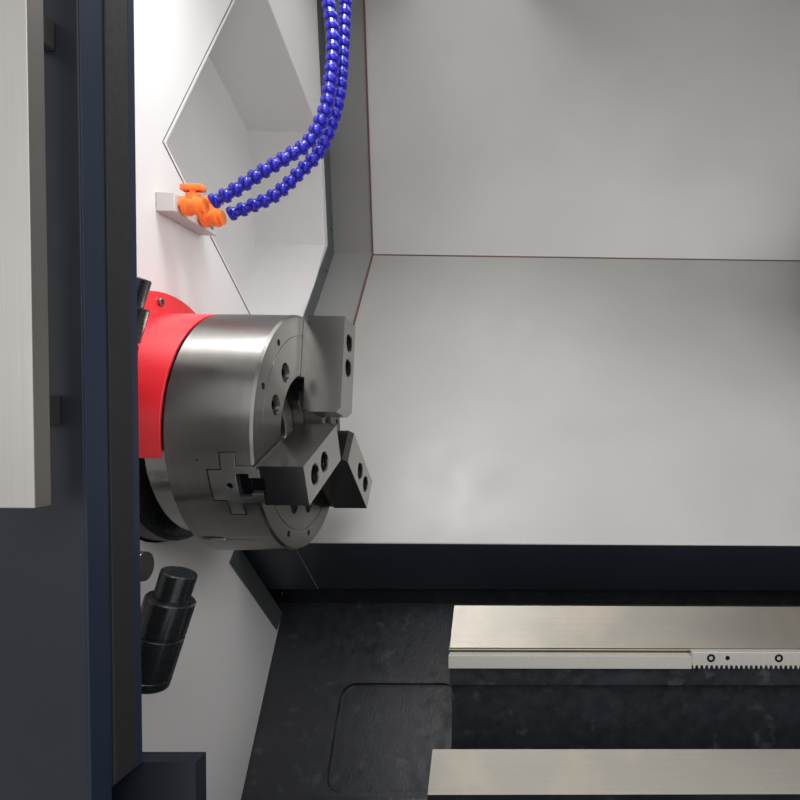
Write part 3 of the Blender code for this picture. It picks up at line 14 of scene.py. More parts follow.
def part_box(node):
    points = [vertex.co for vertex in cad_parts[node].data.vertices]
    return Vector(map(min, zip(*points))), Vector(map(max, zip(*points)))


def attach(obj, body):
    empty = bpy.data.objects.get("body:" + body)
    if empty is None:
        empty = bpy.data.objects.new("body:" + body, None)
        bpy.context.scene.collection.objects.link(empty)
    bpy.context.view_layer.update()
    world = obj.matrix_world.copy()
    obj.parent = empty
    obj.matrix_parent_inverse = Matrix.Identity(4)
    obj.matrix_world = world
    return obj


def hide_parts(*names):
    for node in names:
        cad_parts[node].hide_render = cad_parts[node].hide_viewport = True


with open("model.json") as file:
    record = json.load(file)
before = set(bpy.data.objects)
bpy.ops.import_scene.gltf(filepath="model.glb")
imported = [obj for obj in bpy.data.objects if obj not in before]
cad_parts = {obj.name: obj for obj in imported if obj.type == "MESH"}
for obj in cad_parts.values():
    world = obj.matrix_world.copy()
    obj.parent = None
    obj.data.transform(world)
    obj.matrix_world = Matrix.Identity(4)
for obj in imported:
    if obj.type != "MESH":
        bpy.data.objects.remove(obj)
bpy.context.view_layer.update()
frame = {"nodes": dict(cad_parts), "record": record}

SLOT_OF = {entry["node"]: entry["material_slot"] for entry in frame["record"]["subparts"]}
BODY_OF = {node: body for body, nodes in frame["record"]["behaviour"]["bodies"].items() for node in nodes}

# Sizes that the finished pieces share with the machine
SPINDLE_HEIGHT = 1.05
CHUCK_RADIUS = 0.127
CHUCK_LENGTH = 0.079
CHUCK_TURN = 8.2
JAW_COUNT = 3
WALL_X = -0.150
WAY_DROP = 0.2601
LINK_PITCH = 0.0125
TURRET_STATIONS = 12
TURRET_SCREWS = ((0.064, 0.0050), (0.112, 0.0065))

# Screws: their heads' radius and height, their sockets, and the ways that they face
SOCKET_HEAD = (0.0088, 0.0105)
SMALL_HEAD = (0.0045, 0.0030)
HEAD_SINK = 0.0002
SCREW_SOCKET = 0.55
SCREW_SIDES = 24
TO_TAIL = (1, 0, 0)
TO_FRONT = (0, -1, 0)


def srgb(red, green, blue):
    """A linear colour from 0-255 display values."""
    def channel(value):
        value = value / 255
        return value / 12.92 if value <= 0.04045 else ((value + 0.055) / 1.055) ** 2.4
    return (channel(red), channel(green), channel(blue), 1.0)


class Surface:
    """A Principled material with short calls for procedural detail, in metres of object space."""

    def __init__(self, name, colour, roughness, metallic=0.0, **sockets):
        self.material = bpy.data.materials.new(name)
        self.material.use_nodes = True
        self.tree = self.material.node_tree
        self.shader = self.tree.nodes["Principled BSDF"]
        self.colour = colour
        self.roughness = roughness
        self.shader.inputs["Base Color"].default_value = colour
        self.shader.inputs["Roughness"].default_value = roughness
        self.shader.inputs["Metallic"].default_value = metallic
        for socket, value in sockets.items():
            self.shader.inputs[socket.replace("_", " ")].default_value = value
        self.height = None

    def node(self, kind, **settings):
        made = self.tree.nodes.new("ShaderNode" + kind)
        for key, value in settings.items():
            setattr(made, key, value)
        return made

    def link(self, source, target):
        self.tree.links.new(source, target)

    def place(self, stretch=(1.0, 1.0, 1.0)):
        """Object-space position, stretched along the axes."""
        where = self.node("TexCoord").outputs["Object"]
        mapping = self.node("Mapping")
        mapping.inputs["Scale"].default_value = stretch
        self.link(where, mapping.inputs["Vector"])
        return mapping.outputs["Vector"]

    def turned_place(self, scale):
        """A position made of the distance along X and the distance from the spindle's axis."""
        where = self.node("TexCoord").outputs["Object"]
        moved = self.math("SUBTRACT", where, (0.0, 0.0, SPINDLE_HEIGHT), "VectorMath")
        flat = self.math("MULTIPLY", moved, (0.0, 1.0, 1.0), "VectorMath")
        radius = self.math("LENGTH", flat, kind="VectorMath")
        split = self.node("SeparateXYZ")
        self.link(moved, split.inputs[0])
        joined = self.node("CombineXYZ")
        self.link(self.math("MULTIPLY", split.outputs["X"], scale), joined.inputs[0])
        self.link(self.math("MULTIPLY", radius, scale), joined.inputs[1])
        return joined.outputs[0]

    def math(self, operation, first, second=None, kind="Math"):
        made = self.node(kind, operation=operation)
        for socket, value in zip(made.inputs, (first, second)):
            if isinstance(value, (float, tuple)):
                socket.default_value = value
            elif value is not None:
                self.link(value, socket)
        return made.outputs["Value" if operation == "LENGTH" else 0]

    def noise(self, scale, detail=2.0, place=None):
        texture = self.node("TexNoise")
        texture.inputs["Scale"].default_value = scale
        texture.inputs["Detail"].default_value = detail
        self.link(place or self.place(), texture.inputs["Vector"])
        return texture.outputs["Fac"]

    def ramp(self, value, low, high, start=0.0, end=1.0):
        made = self.node("MapRange")
        for socket, limit in (("From Min", low), ("From Max", high), ("To Min", start), ("To Max", end)):
            made.inputs[socket].default_value = limit
        self.link(value, made.inputs["Value"])
        return made.outputs["Result"]

    def tint(self, factor, colour):
        """Lay another colour over the base colour by a factor."""
        mix = self.node("Mix", data_type="RGBA")
        socket = self.shader.inputs["Base Color"]
        if socket.is_linked:
            self.link(socket.links[0].from_socket, mix.inputs["A"])
        else:
            mix.inputs["A"].default_value = self.colour
        mix.inputs["B"].default_value = colour
        self.link(factor, mix.inputs["Factor"])
        self.link(mix.outputs["Result"], socket)
        return self

    def shade(self, value, amount):
        """Darken and lighten the base colour by a noise value."""
        dark = [c * (1 - amount) for c in self.colour[:3]] + [1.0]
        pale = [min(c * (1 + amount), 1.0) for c in self.colour[:3]] + [1.0]
        self.tint(self.ramp(value, 0.5, 0.3), dark)
        self.tint(self.ramp(value, 0.5, 0.7), pale)
        return self

    def gloss(self, value, amount):
        """Vary the roughness by a noise value."""
        varied = self.ramp(value, 0.3, 0.7, self.roughness - amount, self.roughness + amount)
        self.link(varied, self.shader.inputs["Roughness"])
        return self

    def relief(self, value, depth, strength=1.0):
        """Add a bump of a depth in metres."""
        bump = self.node("Bump")
        bump.inputs["Strength"].default_value = strength
        bump.inputs["Distance"].default_value = depth
        self.link(value, bump.inputs["Height"])
        if self.height:
            self.link(self.height, bump.inputs["Normal"])
        self.height = bump.outputs["Normal"]
        self.link(self.height, self.shader.inputs["Normal"])
        return self


def sheet_paint(name, colour, roughness=0.42, grain=0.00006, cloud=0.04, size=1500.0, **sockets):
    """Structured powder coat: a fine grain, with faint clouds of tone."""
    made = Surface(name, colour, roughness, 0.0, **sockets)
    made.shade(made.noise(5.0, 3.0), cloud)
    fine = made.noise(size, 2.0)
    made.tint(made.ramp(fine, 0.62, 0.80, 0.0, 0.18), tuple(c * 0.55 for c in colour[:3]) + (1.0,))
    made.gloss(made.noise(22.0, 2.0), 0.06)
    made.relief(fine, grain)
    return made.material


def cast_paint(name, colour, roughness=0.40):
    """Thick paint over a sand casting."""
    made = Surface(name, colour, roughness)
    made.shade(made.noise(9.0, 4.0), 0.22)
    made.tint(made.ramp(made.noise(46.0, 6.0), 0.60, 0.78, 0.0, 0.30), srgb(96, 100, 104))
    made.gloss(made.noise(60.0, 3.0), 0.12)
    made.relief(made.noise(260.0, 4.0), 0.00035, 0.8)
    made.relief(made.noise(1300.0, 2.0), 0.00008)
    return made.material


def ground_steel(name, colour, roughness, stretch, warm=0.0, speck=0.0, metallic=1.0):
    """Ground steel with fine lines along one direction."""
    made = Surface(name, colour, roughness, metallic)
    lines = made.noise(1.0, 3.0, made.place(stretch))
    made.shade(lines, 0.05)
    made.shade(made.noise(14.0, 3.0), 0.03)
    made.gloss(made.noise(9.0, 2.0), 0.012)
    if warm:
        made.tint(made.ramp(made.noise(7.0, 4.0), 0.45, 0.80, 0.0, warm), srgb(190, 172, 140))
    if speck:
        made.tint(made.ramp(made.noise(420.0, 3.0), 0.62, 0.74, 0.0, speck), srgb(110, 98, 84))
    made.relief(lines, 0.0000015)
    return made.material


def turned_steel(name, colour, roughness, fine=1500.0):
    """Steel turned about the spindle's axis: its fine rings spread the light across themselves."""
    made = Surface(name, colour, roughness, 1.0, Anisotropic=0.93, Anisotropic_Rotation=0.25)
    tangent = made.node("Tangent", direction_type="RADIAL", axis="X")
    made.link(tangent.outputs[0], made.shader.inputs["Tangent"])
    hoops = made.noise(1.0, 3.0, made.turned_place(fine))
    made.shade(hoops, 0.035)
    made.shade(made.noise(1.0, 2.0, made.turned_place(160.0)), 0.03)
    made.gloss(made.noise(30.0, 4.0), 0.02)
    made.relief(hoops, 0.000001)
    return made.material


def moulded(name, colour, roughness, **sockets):
    """Moulded plastic with a faint mottle."""
    made = Surface(name, colour, roughness, 0.0, **sockets)
    made.shade(made.noise(60.0, 3.0), 0.05)
    made.gloss(made.noise(260.0, 2.0), 0.04)
    made.relief(made.noise(1400.0, 2.0), 0.00001)
    return made.material


WALL_GREY = srgb(206, 204, 203)
COVER_GREY = srgb(166, 165, 163)
STRIP_GREY = srgb(114, 114, 113)
DOOR_BLUE = srgb(27, 29, 36)
CAST_BLACK = srgb(28, 30, 35)

MATERIALS = {
    "wall": sheet_paint("wall_paint", WALL_GREY, 0.40, 0.00003, 0.025, 900.0),
    "cover": sheet_paint("cover_paint", COVER_GREY, 0.44, 0.00007, 0.05, 1100.0),
    # The covers' lower legs: the cover paint darkened, as painted shade.
    "cover_low_shaded": sheet_paint("lower_cover_painted_shade", srgb(136, 135, 132), 0.44, 0.00007, 0.05, 1100.0),
    "strip": sheet_paint("strip_paint", STRIP_GREY, 0.46, 0.00016, 0.05, 700.0),
    # Dark slate paint of the covers' hems. The cutting tools also lay it on the walls of slots, holes,
    # grooves and vents, and it makes the line round the recess: painted shade there.
    "skirt_and_shade": sheet_paint("skirt_and_shade_paint", srgb(34, 38, 46), 0.36, 0.00005, 0.10),
    "trim": sheet_paint("trim_paint", srgb(72, 74, 75), 0.42, 0.00008, 0.05),
    "door": sheet_paint("door_paint", DOOR_BLUE, 0.42, 0.00003, 0.05, 2200.0, Specular_IOR_Level=0.2),
    "door_edge": sheet_paint("door_edge_paint", srgb(27, 33, 48), 0.42, 0.00003, 0.05, 2200.0,
                             Specular_IOR_Level=0.2),
    "dark": sheet_paint("dark_paint", srgb(44, 48, 54), 0.42, 0.00004, 0.06),
    "cast": cast_paint("cast_paint", CAST_BLACK),
    "ways": ground_steel("way_steel", srgb(132, 128, 121), 0.44, (9.0, 700.0, 700.0), 0.30, 0.35),
    "rack": ground_steel("rack_steel", srgb(188, 185, 179), 0.42, (500.0, 60.0, 60.0), 0.10, 0.30, 0.5),
    "stained": ground_steel("stained_steel", srgb(176, 160, 112), 0.50, (500.0, 60.0, 60.0), 0.40, 0.40, 0.5),
    "rails": ground_steel("rail_steel", srgb(196, 194, 190), 0.25, (8.0, 900.0, 900.0)),
    "jaw": ground_steel("jaw_steel", srgb(158, 156, 153), 0.22, (260.0, 260.0, 60.0)),
    "jaw_side": ground_steel("jaw_side_steel", srgb(150, 148, 144), 0.28, (60.0, 260.0, 260.0)),
    "chuck": turned_steel("chuck_steel", srgb(150, 148, 145), 0.30, fine=700.0),
    # A darker copy of the chuck's steel for its face: painted shade.
    "chuck_face": turned_steel("chuck_face_shaded_steel", srgb(114, 112, 109), 0.34, fine=700.0),
    "bright": turned_steel("turned_steel", srgb(182, 180, 176), 0.26),
    "stainless": ground_steel("brushed_stainless", srgb(186, 182, 177), 0.30, (900.0, 900.0, 7.0)),
    "handle": ground_steel("handle_stainless", srgb(152, 149, 145), 0.42, (900.0, 900.0, 7.0)),
    "block": sheet_paint("block_finish", srgb(188, 186, 183), 0.34, 0.00001, 0.03),
    "screw": ground_steel("screw_steel", srgb(150, 148, 144), 0.32, (500.0, 500.0, 500.0)),
    "oxide": ground_steel("black_oxide", srgb(46, 45, 45), 0.38, (500.0, 500.0, 500.0)),
    "guard": sheet_paint("guard_paint", srgb(214, 40, 50), 0.32, 0.00003, 0.05, 800.0, Coat_Weight=0.35,
                         Coat_Roughness=0.22),
    "hose": moulded("hose_plastic", srgb(18, 16, 140), 0.22, Coat_Weight=0.20, Coat_Roughness=0.10),
    "valve": moulded("valve_plastic", srgb(244, 118, 42), 0.34),
    "black": moulded("black_plastic", srgb(26, 28, 30), 0.30),
    "lamp": moulded("lamp_black", srgb(25, 27, 29), 0.26, Coat_Weight=0.3, Coat_Roughness=0.15),
    "rubber": moulded("rubber", srgb(18, 18, 19), 0.70),
    "lip": moulded("lip_rubber", srgb(88, 60, 56), 0.55),
    "red": moulded("red_plastic", srgb(200, 26, 26), 0.32),
    "yellow": moulded("yellow_plastic", srgb(232, 190, 40), 0.38),
    "green": moulded("green_plastic", srgb(36, 150, 78), 0.32),
    "white": moulded("white_plastic", srgb(222, 222, 218), 0.40),
    "key": moulded("key_plastic", srgb(150, 154, 160), 0.42),
}


def glass(name, colour, roughness=0.02):
    made = Surface(name, colour, roughness, 0.0, Transmission_Weight=0.9, IOR=1.45, Alpha=0.45)
    made.gloss(made.noise(8.0, 2.0), 0.01)
    made.material.surface_render_method = "BLENDED"
    return made.material


def glowing(name, colour, strength):
    made = Surface(name, colour, 0.18, 0.0, Emission_Color=colour, Emission_Strength=strength)
    made.shade(made.noise(30.0, 1.0), 0.05)
    return made.material


MATERIALS["glass"] = glass("window_glass", srgb(196, 208, 210))
MATERIALS["lens"] = glowing("lamp_lens", srgb(150, 156, 160), 0.15)
MATERIALS["screen"] = glowing("screen", srgb(26, 54, 84), 0.5)
MATERIALS["screen_light"] = glowing("screen_light", srgb(120, 190, 220), 0.9)


def add_to_scene(name, data):
    """A new object for a mesh, a lamp or a camera, in the scene."""
    made = bpy.data.objects.new(name, data)
    bpy.context.scene.collection.objects.link(made)
    return made


def add_object(name, shape, material):
    """An object from a bmesh, with one material."""
    mesh = bpy.data.meshes.new(name)
    shape.to_mesh(mesh)
    shape.free()
    mesh.materials.append(MATERIALS[material])
    return add_to_scene(name, mesh)


def settle(piece):
    """Apply a piece's modifiers to its mesh."""
    graph = bpy.context.evaluated_depsgraph_get()
    made = bpy.data.meshes.new_from_object(piece.evaluated_get(graph))
    old = piece.data
    piece.modifiers.clear()
    piece.data = made
    bpy.data.meshes.remove(old)
    return piece


def smooth(piece, angle=32.0):
    piece.data.shade_smooth()
    piece.data.set_sharp_from_angle(angle=radians(angle))
    return piece


def round_edges(piece, width, segments=2, angle=35.0):
    """Round the edges sharper than an angle."""
    smooth(piece)
    edge = piece.modifiers.new("edges", "BEVEL")
    edge.harden_normals = True
    edge.width = width
    edge.segments = segments
    edge.limit_method = "ANGLE"
    edge.angle_limit = radians(angle)
    return settle(piece)


def carve(piece, tools, operation="DIFFERENCE"):
    """Cut or join helper solids, then remove them."""
    for tool in tools:
        change = piece.modifiers.new("change", "BOOLEAN")
        change.material_mode = "TRANSFER"
        change.operation = operation
        change.object = tool
    settle(piece)
    for tool in tools:
        bpy.data.objects.remove(tool, do_unlink=True)
    return piece


def seat(piece, body, slot, *nodes):
    """Attach a piece to its body and hide the nodes that it stands for; the finish slot is not used."""
    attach(piece, body)
    if nodes:
        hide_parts(*nodes)
    return piece


def add_fittings(name, pieces, node):
    """Join pieces that have no node of their own, on a node's body."""
    return seat(merge(name, pieces), BODY_OF[node], SLOT_OF[node])


def box_shape(low, high):
    low = Vector(low)
    high = Vector(high)
    shape = bmesh.new()
    bmesh.ops.create_cube(shape, size=1.0)
    bmesh.ops.scale(shape, vec=high - low, verts=shape.verts)
    bmesh.ops.translate(shape, vec=(low + high) / 2, verts=shape.verts)
    return shape


def block(name, low, high, material, width=0.001, segments=2):
    piece = add_object(name, box_shape(low, high), material)
    if width:
        round_edges(piece, width, segments)
    return piece


def join_rings(shape, rings):
    """Faces between rings of vertices; a ring of one vertex is a point on the axis."""
    for first, second in zip(rings, rings[1:]):
        steps = max(len(first), len(second))
        for i in range(steps if steps > 1 else 0):
            j = (i + 1) % steps
            corners = (first[i % len(first)], first[j % len(first)],
                       second[j % len(second)], second[i % len(second)])
            shape.faces.new(tuple(dict.fromkeys(corners)))


def revolve(name, profile, material, centre=(0.0, SPINDLE_HEIGHT), steps=96, closed=True):
    """A solid turned about a line along X, from (x, radius) points."""
    shape = bmesh.new()
    rings = []
    for x, radius in profile:
        turns = [tau * i / steps for i in range(steps if radius else 1)]
        rings.append([shape.verts.new((x, centre[0] + radius * sin(turn), centre[1] + radius * cos(turn)))
                      for turn in turns])
    join_rings(shape, rings + rings[:1] if closed else rings)
    bmesh.ops.recalc_face_normals(shape, faces=shape.faces)
    return smooth(add_object(name, shape, material))


def rod(name, start, end, radius, material, steps=32, end_radius=None):
    """A round bar between two points."""
    start = Vector(start)
    end = Vector(end)
    run = end - start
    shape = bmesh.new()
    bmesh.ops.create_cone(shape, cap_ends=True, segments=steps, radius1=radius,
                          radius2=radius if end_radius is None else end_radius, depth=run.length)
    turn = run.to_track_quat("Z", "Y").to_matrix().to_4x4()
    bmesh.ops.transform(shape, matrix=Matrix.Translation((start + end) / 2) @ turn, verts=shape.verts)
    return smooth(add_object(name, shape, material))


def prism(name, outline, place, depth, material):
    """A closed 2D outline pushed out along local +Z, set by a matrix."""
    shape = bmesh.new()
    base = shape.faces.new([shape.verts.new((x, y, 0.0)) for x, y in outline])
    grown = bmesh.ops.extrude_face_region(shape, geom=[base])
    tops = [item for item in grown["geom"] if isinstance(item, bmesh.types.BMVert)]
    bmesh.ops.translate(shape, vec=(0, 0, depth), verts=tops)
    bmesh.ops.recalc_face_normals(shape, faces=shape.faces)
    bmesh.ops.transform(shape, matrix=place, verts=shape.verts)
    bmesh.ops.recalc_face_normals(shape, faces=shape.faces)
    return add_object(name, shape, material)


ALONG_X = Matrix(((0, 0, 1, 0), (1, 0, 0, 0), (0, 1, 0, SPINDLE_HEIGHT), (0, 0, 0, 1)))


def section(name, outline, ends, material):
    """A (Y, height) outline pushed along X between two ends."""
    return prism(name, outline, Matrix.Translation((ends[0], 0, 0)) @ ALONG_X, ends[1] - ends[0],
                 material)


def merge(name, pieces):
    """Join several objects' meshes into one piece, keeping their materials."""
    for piece in pieces:
        piece.data.transform(piece.matrix_world)
        piece.matrix_world = Matrix.Identity(4)
    shape = bmesh.new()
    materials = []
    for piece in pieces:
        part = bmesh.new()
        part.from_mesh(piece.data)
        for material in piece.data.materials:
            if material not in materials:
                materials.append(material)
        slots = [materials.index(material) for material in piece.data.materials]
        for face in part.faces:
            face.material_index = slots[face.material_index] if slots else 0
        spare = bpy.data.meshes.new("spare")
        part.to_mesh(spare)
        part.free()
        shape.from_mesh(spare)
        bpy.data.meshes.remove(spare)
    mesh = bpy.data.meshes.new(name)
    shape.to_mesh(mesh)
    shape.free()
    for material in materials:
        mesh.materials.append(material)
    for piece in pieces:
        bpy.data.objects.remove(piece, do_unlink=True)
    return smooth(add_to_scene(name, mesh))


def clean_copy(node):
    """A welded copy of a frame node's shape as a bmesh."""
    shape = bmesh.new()
    shape.from_mesh(frame["nodes"][node].data)
    bmesh.ops.remove_doubles(shape, verts=shape.verts, dist=0.00001)
    bmesh.ops.dissolve_limit(shape, angle_limit=radians(0.5), verts=shape.verts, edges=shape.edges)
    return shape


def finish(node, material, width=0.001, segments=2, paint=None):
    """A finished piece in the shape of a node, with rounded edges."""
    piece = add_object(node + "_finished", clean_copy(node), material)
    for name in ("custom_normal", "sharp_face", "sharp_edge"):
        if name in piece.data.attributes:
            piece.data.attributes.remove(piece.data.attributes[name])
    if paint:
        paint(piece)
    if width:
        round_edges(piece, width, segments)
    else:
        smooth(piece)
    return seat(piece, BODY_OF[node], SLOT_OF[node], node)


def finish_all(*rows):
    """Finished pieces from rows of node, material, edge width and, where it matters, segments."""
    for row in rows:
        finish(*row)


def add_screw(name, place, direction, radius, height, material="screw"):
    """A socket-head screw: a rounded head with a hexagon socket, standing on a surface."""
    socket = radius * SCREW_SOCKET
    head = [(0.0, 0.0), (0.0, radius * 0.97), (height * 0.12, radius), (height * 0.8, radius),
            (height, radius * 0.86), (height, socket * 1.12)]
    hexagon = [(height * 0.96, socket), (height * 0.45, socket), (height * 0.45, 0.0)]
    shape = bmesh.new()
    rings = []
    for level, reach in head + hexagon:
        ring = []
        for i in range(SCREW_SIDES if reach else 1):
            angle = tau * i / SCREW_SIDES
            length = reach
            if len(rings) >= len(head):
                length = reach * cos(pi / 6) / cos((angle % (pi / 3)) - pi / 6)
            ring.append(shape.verts.new((length * cos(angle), length * sin(angle), level)))
        rings.append(ring)
    join_rings(shape, rings)
    turn = Vector(direction).to_track_quat("Z", "Y").to_matrix().to_4x4()
    bmesh.ops.transform(shape, matrix=Matrix.Translation(place) @ turn, verts=shape.verts)
    bmesh.ops.recalc_face_normals(shape, faces=shape.faces)
    return smooth(add_object(name, shape, material))


def screw_heads(spots, direction, size, material="screw"):
    """A screw at each spot, all of one size: the head's radius and height."""
    return [add_screw("head", spot, direction, *size, material) for spot in spots]


def tick_marks(centre, count, start, pitch, reach, radius, material):
    """Radial marks in an upright plane round a centre, from an angle in degrees from the top."""
    marks = []
    for index in range(count):
        angle = radians(start + pitch * index)
        ends = [Vector(centre) + Vector((length * sin(angle), 0, length * cos(angle))) for length in reach]
        marks.append(rod("tick", *ends, radius, material, 6))
    return marks


def ring_point(radius, angle):
    """A (Y, Z) point round the spindle; the angle runs from +Z towards +Y, in degrees."""
    return (radius * sin(radians(angle)), SPINDLE_HEIGHT + radius * cos(radians(angle)))


# The chuck
FACE_SCREW_RADIUS = 0.080
FACE_SCREW_ANGLES = (-39.4, -69.1)
FACE_SCREW_SEAT = -0.014
FACE_SCREW_BORE = 0.0102
SMALL_HOLE_RADIUS = 0.1125
SMALL_HOLE_ANGLES = (-36.8, -66.4)
SMALL_HOLE_SIZE = 0.0035
SMALL_HOLE_DEPTH = 0.012
BARREL_HOLE_X = -0.0502
BARREL_HOLES = ((-144.0, 0.017, 0.0040), (-100.5, 0.006, 0.0012))
COVER_GROOVE = 0.1055
MOUTH_RADIUS = 0.062
MOUTH_DEPTH = 0.0205
CAVITY_RADIUS = 0.052
SPINDLE_BORE = 0.033
BACK_WALL = 0.008
FRONT_CHAMFER = 0.0022
BACK_CHAMFER = 0.0012
SLOT_GAP = 0.0010


def jaw_matrix(index):
    """The place of a jaw drawn with local +Z outwards and local X along the spindle."""
    angle = radians(CHUCK_TURN - 360.0 * index / JAW_COUNT)
    return Matrix.Translation((0, 0, SPINDLE_HEIGHT)) @ Matrix.Rotation(-angle, 4, "X")


def radial_prism(name, outline, span, index, material):
    """A prism along one jaw's radius, from (side, x) points."""
    local = Matrix(((0, 1, 0, 0), (-1, 0, 0, 0), (0, 0, 1, span[0]), (0, 0, 0, 1)))
    return prism(name, outline, jaw_matrix(index) @ local, span[1] - span[0], material)


def mirrored(half):
    """A whole outline from the (side, x) points of its one half."""
    return half + [(-side, x) for side, x in reversed(half)]


def cross_outline(extra, stand):
    """The cross section that a master jaw and its slot share, grown by a gap, up to a stand."""
    neck, wing, foot = 0.0190 + extra, 0.0315 + extra, 0.0154 + extra
    neck_x, wing_x, foot_x = -0.0165 + extra, -0.0296 - extra, -0.0417 - extra
    return mirrored([(neck, stand), (neck, neck_x), (wing, neck_x), (wing, wing_x), (foot, wing_x),
                     (foot, foot_x)])


def chuck_tools(index):
    """What is cut from the chuck for one jaw, and the screws that then stand in its face."""
    # The slot's and the tapped holes' tools lay the dark paint on the walls that they cut: painted shade in
    # the gap and the holes.
    tools = [radial_prism("slot", cross_outline(SLOT_GAP, 0.02), (0.040, 0.160), index, "skirt_and_shade")]
    screws = []
    turn = -360.0 * index / JAW_COUNT
    for angle in FACE_SCREW_ANGLES:
        y, z = ring_point(FACE_SCREW_RADIUS, angle + turn)
        tools.append(rod("bore", (FACE_SCREW_SEAT, y, z), (0.01, y, z), FACE_SCREW_BORE, "chuck"))
        screws.append(add_screw("head", (FACE_SCREW_SEAT + 0.0001, y, z), TO_TAIL, *SOCKET_HEAD, "oxide"))
    for angle in SMALL_HOLE_ANGLES:
        y, z = ring_point(SMALL_HOLE_RADIUS, angle + turn)
        tools.append(rod("tapped", (-SMALL_HOLE_DEPTH, y, z), (0.01, y, z), SMALL_HOLE_SIZE, "skirt_and_shade", 20))
    return tools, screws


def make_chuck():
    back = -CHUCK_LENGTH + BACK_WALL
    profile = [(0.0, CHUCK_RADIUS - FRONT_CHAMFER), (-FRONT_CHAMFER, CHUCK_RADIUS),
               (-CHUCK_LENGTH + BACK_CHAMFER, CHUCK_RADIUS), (-CHUCK_LENGTH, CHUCK_RADIUS - BACK_CHAMFER),
               (-CHUCK_LENGTH, SPINDLE_BORE), (back, SPINDLE_BORE),
               (back, CAVITY_RADIUS), (-MOUTH_DEPTH - 0.001, CAVITY_RADIUS),
               (-MOUTH_DEPTH, CAVITY_RADIUS + 0.001), (-MOUTH_DEPTH, MOUTH_RADIUS),
               (-0.0015, MOUTH_RADIUS), (0.0, MOUTH_RADIUS + 0.0015),
               (0.0, COVER_GROOVE - 0.0004), (-0.0008, COVER_GROOVE - 0.0003),
               (-0.0008, COVER_GROOVE + 0.0003), (0.0, COVER_GROOVE + 0.0004)]
    chuck = revolve("chuck_body_finished", profile, "chuck", steps=160)
    tools = []
    screws = []
    for index in range(JAW_COUNT):
        cuts, heads = chuck_tools(index)
        tools += cuts
        screws += heads
    for angle, depth, radius in BARREL_HOLES:
        side = Vector((0, sin(radians(angle)), cos(radians(angle))))
        axis_point = Vector((BARREL_HOLE_X, 0, SPINDLE_HEIGHT))
        tools.append(rod("barrel_hole", axis_point + side * (CHUCK_RADIUS - depth),
                         axis_point + side * (CHUCK_RADIUS + 0.01), radius, "chuck", 20))
    carve(chuck, tools)
    # The face takes the darker copy of the chuck's steel, as painted shade.
    chuck.data.materials.append(MATERIALS["chuck_face"])
    face_slot = len(chuck.data.materials) - 1
    for face in chuck.data.polygons:
        if face.normal.x > 0.9 and face.center.x > -0.0015:
            face.material_index = face_slot
    smooth(chuck)
    seat(chuck, "spindle", "bright_steel", "chuck_body")
    seat(merge("chuck_face_screws", screws), "spindle", "bright_steel")
    for index in range(JAW_COUNT):
        make_master_jaw(index)
        make_top_jaw(index)
        make_jaw_fittings(index)


# The jaws
TOP_JAW_HALF = 0.020
TOP_JAW_REACH = (0.0207, 0.1265)
TOP_JAW_X = (0.0046, 0.0450)
MASTER_JAW_REACH = (0.0585, 0.1350)
JAW_BOLTS = (0.0735, 0.1020)
BOLT_SEAT = 0.023
COUNTERBORE = 0.0098
BOLT_HOLE = 0.0063
BOLT_FLARE = (0.0096, 0.0112)
THREAD_START = 0.0250
THREAD_PITCH = 0.0024
THREAD_TURNS = 8
THREAD_ROOT = 0.0097
THREAD_CREST = 0.0089
THREAD_BACK = 0.0099
NUT_REACH = (0.063, 0.1205)
TEETH_START = 0.060
TOOTH_PITCH = 0.0015
TOOTH_HEIGHT = 0.0009
TOOTH_FOOT = 0.0016


def make_master_jaw(index):
    """The base jaw: a cross in section, ended by the chuck's barrel, with its T-slot."""
    number = index + 1
    place = jaw_matrix(index)
    master = radial_prism("master_jaw_%d_finished" % number, cross_outline(-0.00005, 0.0043),
                          MASTER_JAW_REACH, index, "jaw_side")
    barrel = rod("barrel", (-0.06, 0, SPINDLE_HEIGHT), (0.02, 0, SPINDLE_HEIGHT), CHUCK_RADIUS - 0.0002,
                 "bright", 160)
    carve(master, [barrel], "INTERSECT")
    slot = mirrored([(0.0080, 0.02), (0.0080, -0.0060), (0.0120, -0.0060), (0.0120, -0.0175)])
    pin = [place @ Vector((-0.0245, 0, reach)) for reach in (0.108, 0.13)]
    # The T-slot's tool lays the dark paint on the slot's walls: painted shade.
    carve(master, [radial_prism("t_slot", slot, (0.050, 0.140), index, "skirt_and_shade"),
                   rod("pin_hole", *pin, 0.0028, "jaw_side", 20)])
    round_edges(master, 0.00035, 2)
    seat(master, "jaw_%d" % number, "bright_steel", "master_jaw_%d" % number)


def bolt_rod(name, place, ends, position, radius, material, end_radius=None):
    """A round bar along the spindle's direction, at a place along a jaw."""
    start, end = (place @ Vector((x, 0, position)) for x in ends)
    return rod(name, start, end, radius, material, 40, end_radius)


